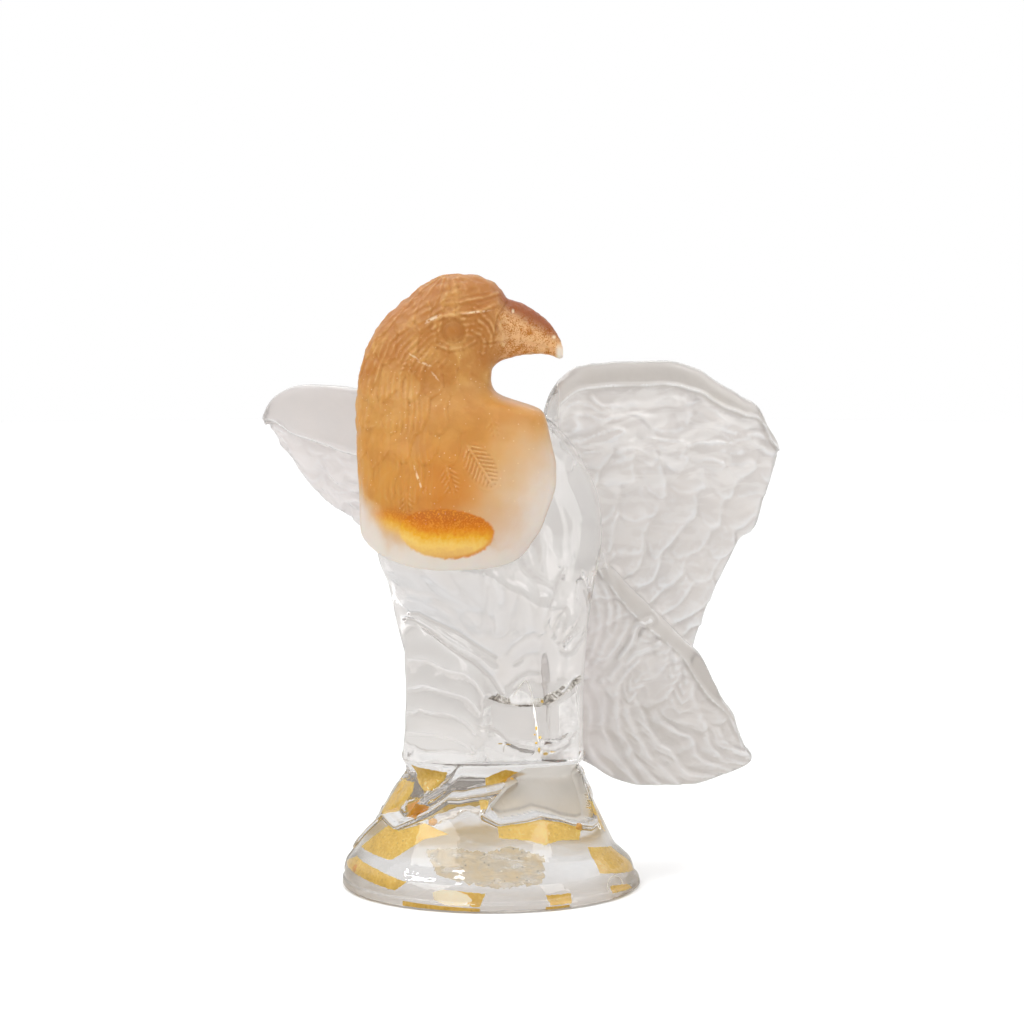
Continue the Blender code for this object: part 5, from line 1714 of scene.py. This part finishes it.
def coloured_glass(name, dark, light, roughness, glow=0.0):
    """Opaque amber or milky glass in the small drops and chips. A glow, where given, is painted light."""
    made, w, shader, position = new_material(name, metallic=0.0, ior=1.5, transmission_weight=0.0)
    skin = cast_skin(w, position, 3, 0.2, 0.6, 0.03)
    colour = w.blend(skin["Cloud"], dark, light)
    rough = w.mix_values(skin["Cloud"], roughness * 0.8, roughness * 1.2)
    # A glow above zero is painted light
    w.fill(shader, base_color=colour, emission_color=colour, emission_strength=glow, roughness=rough)
    w.fill(shader, normal=skin["Normal"])
    return made



def dress(piece, materials, replaces=None):
    """Gives a piece its materials, slot and body, and hides the part of the model that it stands for. Its
    faces keep their choice among several materials."""
    materials = materials if isinstance(materials, list) else [materials]
    chosen = [face.material_index for face in piece.data.polygons]
    piece.data.materials.clear()
    for material in materials:
        piece.data.materials.append(material)
    for face, choice in zip(piece.data.polygons, chosen):
        face.material_index = choice
        face.use_smooth = True
    piece.data.set_sharp_from_angle(angle=CRISP_ANGLE)
    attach(piece, "root")
    if replaces:
        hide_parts(replaces)


def studio_world():
    """A pale studio all round: bright above and behind, dimmer behind the camera, to give the glass form."""
    world = bpy.data.worlds.new("pale_studio")
    bpy.context.scene.world = world
    world.use_nodes = True
    w = Wiring(world.node_tree)
    _, y, z = w.parts(w.add("TexCoord").outputs["Generated"])
    up = w.between(z, 0.02, 0.50)
    through = w.blend(up, STUDIO_TONE, CEILING_TONE)
    through = w.tint(through, BEHIND_TONE, w.between(y, -0.35, -0.9))
    path = w.add("LightPath").outputs
    sky = w.blend(path["Is Camera Ray"], FILL_GREY, BACKDROP_WHITE)
    sky = w.blend(path["Is Glossy Ray"], sky, w.blend(up, MIRRORED_LOW, MIRRORED_HIGH))
    sky = w.blend(path["Is Transmission Ray"], sky, through)
    w.fill(world.node_tree.nodes["Background"], color=sky, strength=1.0)


def studio_light(name, place, aim_height, width, height, power, seen_in_glass=True):
    """A soft rectangular light that faces a point over the middle of the base."""
    data = bpy.data.lights.new(name, "AREA")
    data.shape = "RECTANGLE"
    data.size, data.size_y = width, height
    data.energy = power
    light = bpy.data.objects.new(name, data)
    bpy.context.scene.collection.objects.link(light)
    light.location = place
    light.visible_transmission = seen_in_glass
    toward = Vector((0, 0, aim_height)) - Vector(place)
    light.rotation_euler = toward.to_track_quat("-Z", "Y").to_euler()


def studio_floor():
    """A plain pale floor. In the glass it has the studio's soft grey, as the air behind it has."""
    shape = bmesh.new()
    bmesh.ops.create_circle(shape, cap_ends=True, segments=RING_POINTS, radius=FLOOR_RADIUS)
    floor = new_object("studio_floor", mesh_of(shape, "studio_floor"))
    made, w, shader, position = new_material("pale_floor", metallic=0.0, specular_ior_level=0.2)
    white = w.blend(w.noise(position, 1.5, 1.0), (0.91, 0.91, 0.91), (0.93, 0.93, 0.93))
    path = w.add("LightPath").outputs
    in_glass = w.math("MAXIMUM", path["Is Glossy Ray"], path["Is Transmission Ray"])
    w.fill(shader, base_color=w.blend(in_glass, white, FLOOR_TONE), roughness=0.7)
    floor.data.materials.append(made)
    floor.location.z = -FLOOR_GAP


def studio_camera():
    """The photograph's view: level with the bird's breast, from a little above."""
    data = bpy.data.cameras.new("camera")
    data.lens, data.sensor_width = CAMERA_LENS, CAMERA_SENSOR
    camera = bpy.data.objects.new("camera", data)
    bpy.context.scene.collection.objects.link(camera)
    tilt = math.radians(CAMERA_TILT)
    look = Vector((0, math.cos(tilt), -math.sin(tilt)))
    camera.location = Vector(CAMERA_AIM) - look * CAMERA_DISTANCE
    camera.rotation_euler = look.to_track_quat("-Z", "Y").to_euler()
    bpy.context.scene.camera = camera


studio_camera()
studio_world()
studio_floor()
studio_light("overhead", *OVERHEAD, seen_in_glass=False)
for name, softbox in SOFTBOXES.items():
    studio_light(name, *softbox)
bpy.context.scene.view_settings.view_transform = "Standard"

tones = CLEAR_TONES
clear = clear_crystal("clear_cast_crystal", 0.93, tones["clear painted valley shade"], tones["flat clear"], 0.26)
satin = clear_crystal("satin_cast_crystal", 0.74, tones["satin painted valley shade"], tones["flat satin"], 0.32)
bonded = bonded_joint()
amber = amber_crystal()
polished = base_crystal("polished_base_crystal", 1.0, (0.95, 0.945, 0.94), (0.995, 0.995, 0.995), 0.012)
# The matt facet is a real satin finish; its darker beige tone is painted shade
shaded_matt_facet = base_crystal("matt_facet_painted_shade_crystal", 0.6, (0.64, 0.60, 0.54), (0.76, 0.72, 0.655), 0.42)
gold = gold_leaf("gold_leaf", worn=False)
worn_gold = gold_leaf("worn_gold_leaf", worn=True)
silvered = silvered_leaf_and_painted_shade()
veil = milky_veil_and_painted_light()
amber_glass = coloured_glass("amber_drop_glass", (0.84, 0.34, 0.008), (0.97, 0.52, 0.035), 0.15)
# The milky glass and the pale enamel glow a little: painted light
milky = coloured_glass("milky_glass", (0.90, 0.88, 0.82), (0.98, 0.97, 0.94), 0.3, 0.3)
pale_enamel = coloured_glass("pale_enamel", (0.90, 0.82, 0.60), (0.99, 0.94, 0.80), 0.4, 0.22)

dress(amber_bust(), amber, "amber_head_and_breast")
dress(clear_bird(), [clear, satin, bonded], "eagle_body_and_wings")
dress(rock_base(), [polished, bonded, shaded_matt_facet], "rock_base")

# The dark crescent leaf also paints the shade of the gap under the crescent
dress(leaf("silver_crescent", CRESCENT_LEAF, 0.0, 0.15, 0.35, 0.5, sealed_skin), silvered)
for name, outline in MILKY_VEILS.items():
    dress(leaf(name, outline, -1.2, 0.2, 0.1, 0.2, sealed_skin), veil)
dress(thread("milky_thread", MILKY_THREAD, THREAD_RADIUS), milky)
facing_front = (Vector((1, 0, 0)), Vector((0, 0, 1)), Vector((0, -1, 0)))
for number, (x, z, half_width, half_height) in enumerate(GOLD_FLECKS, 1):
    centre = Vector((x, SEALED_DEPTH - FLECK_DEPTH, z + BASE_HEIGHT / U)) * U
    radii = (half_width * U, half_height * U, FLECK_THICKNESS * U)
    dress(blob(f"gold_fleck_{number}", centre, radii, facing_front, 0.5), gold)

for name, outline in GOLD_LEAVES.items():
    dress(leaf(name, outline), gold)
for name, outline in GOLD_RIM_STRIPS.items():
    dress(leaf(name, outline, depth=0.5, torn=0.15, crumple=0.0), gold)
dress(leaf("worn_gold_leaf", WORN_LEAF, torn=1.6), worn_gold)
dress(leaf("pale_disc", PALE_DISC, depth=0.8, torn=0.2), pale_enamel)
dress(leaf("orange_chip", ORANGE_CHIP, depth=0.9), amber_glass)
for number, (angle, height, radius) in enumerate(AMBER_DROPS, 1):
    here, axes = skin_axes(math.radians(angle), height * U)
    centre = here - axes[2] * DROP_DEPTH * U
    radii = (radius * U, radius * 0.8 * U, DROP_THICKNESS * U)
    dress(blob(f"amber_drop_{number}", centre, radii, axes, 0.15), amber_glass)

angle, height, half_width, half_height = BUBBLE
here, axes = skin_axes(math.radians(angle), height * U)
oblong = (axes[0], axes[1] * half_height / half_width, axes[2])
centre = here - axes[2] * BUBBLE_DEPTH * U
dress(ring_in_glass("bubble_rim", centre, oblong, half_width * U, BUBBLE_LINE * U), milky)
angle, height, radius = SMALL_RING
here, axes = skin_axes(math.radians(angle), height * U)
centre = here - axes[2] * RING_DEPTH * U
dress(ring_in_glass("small_ring", centre, axes, radius * U, RING_LINE * U), milky)
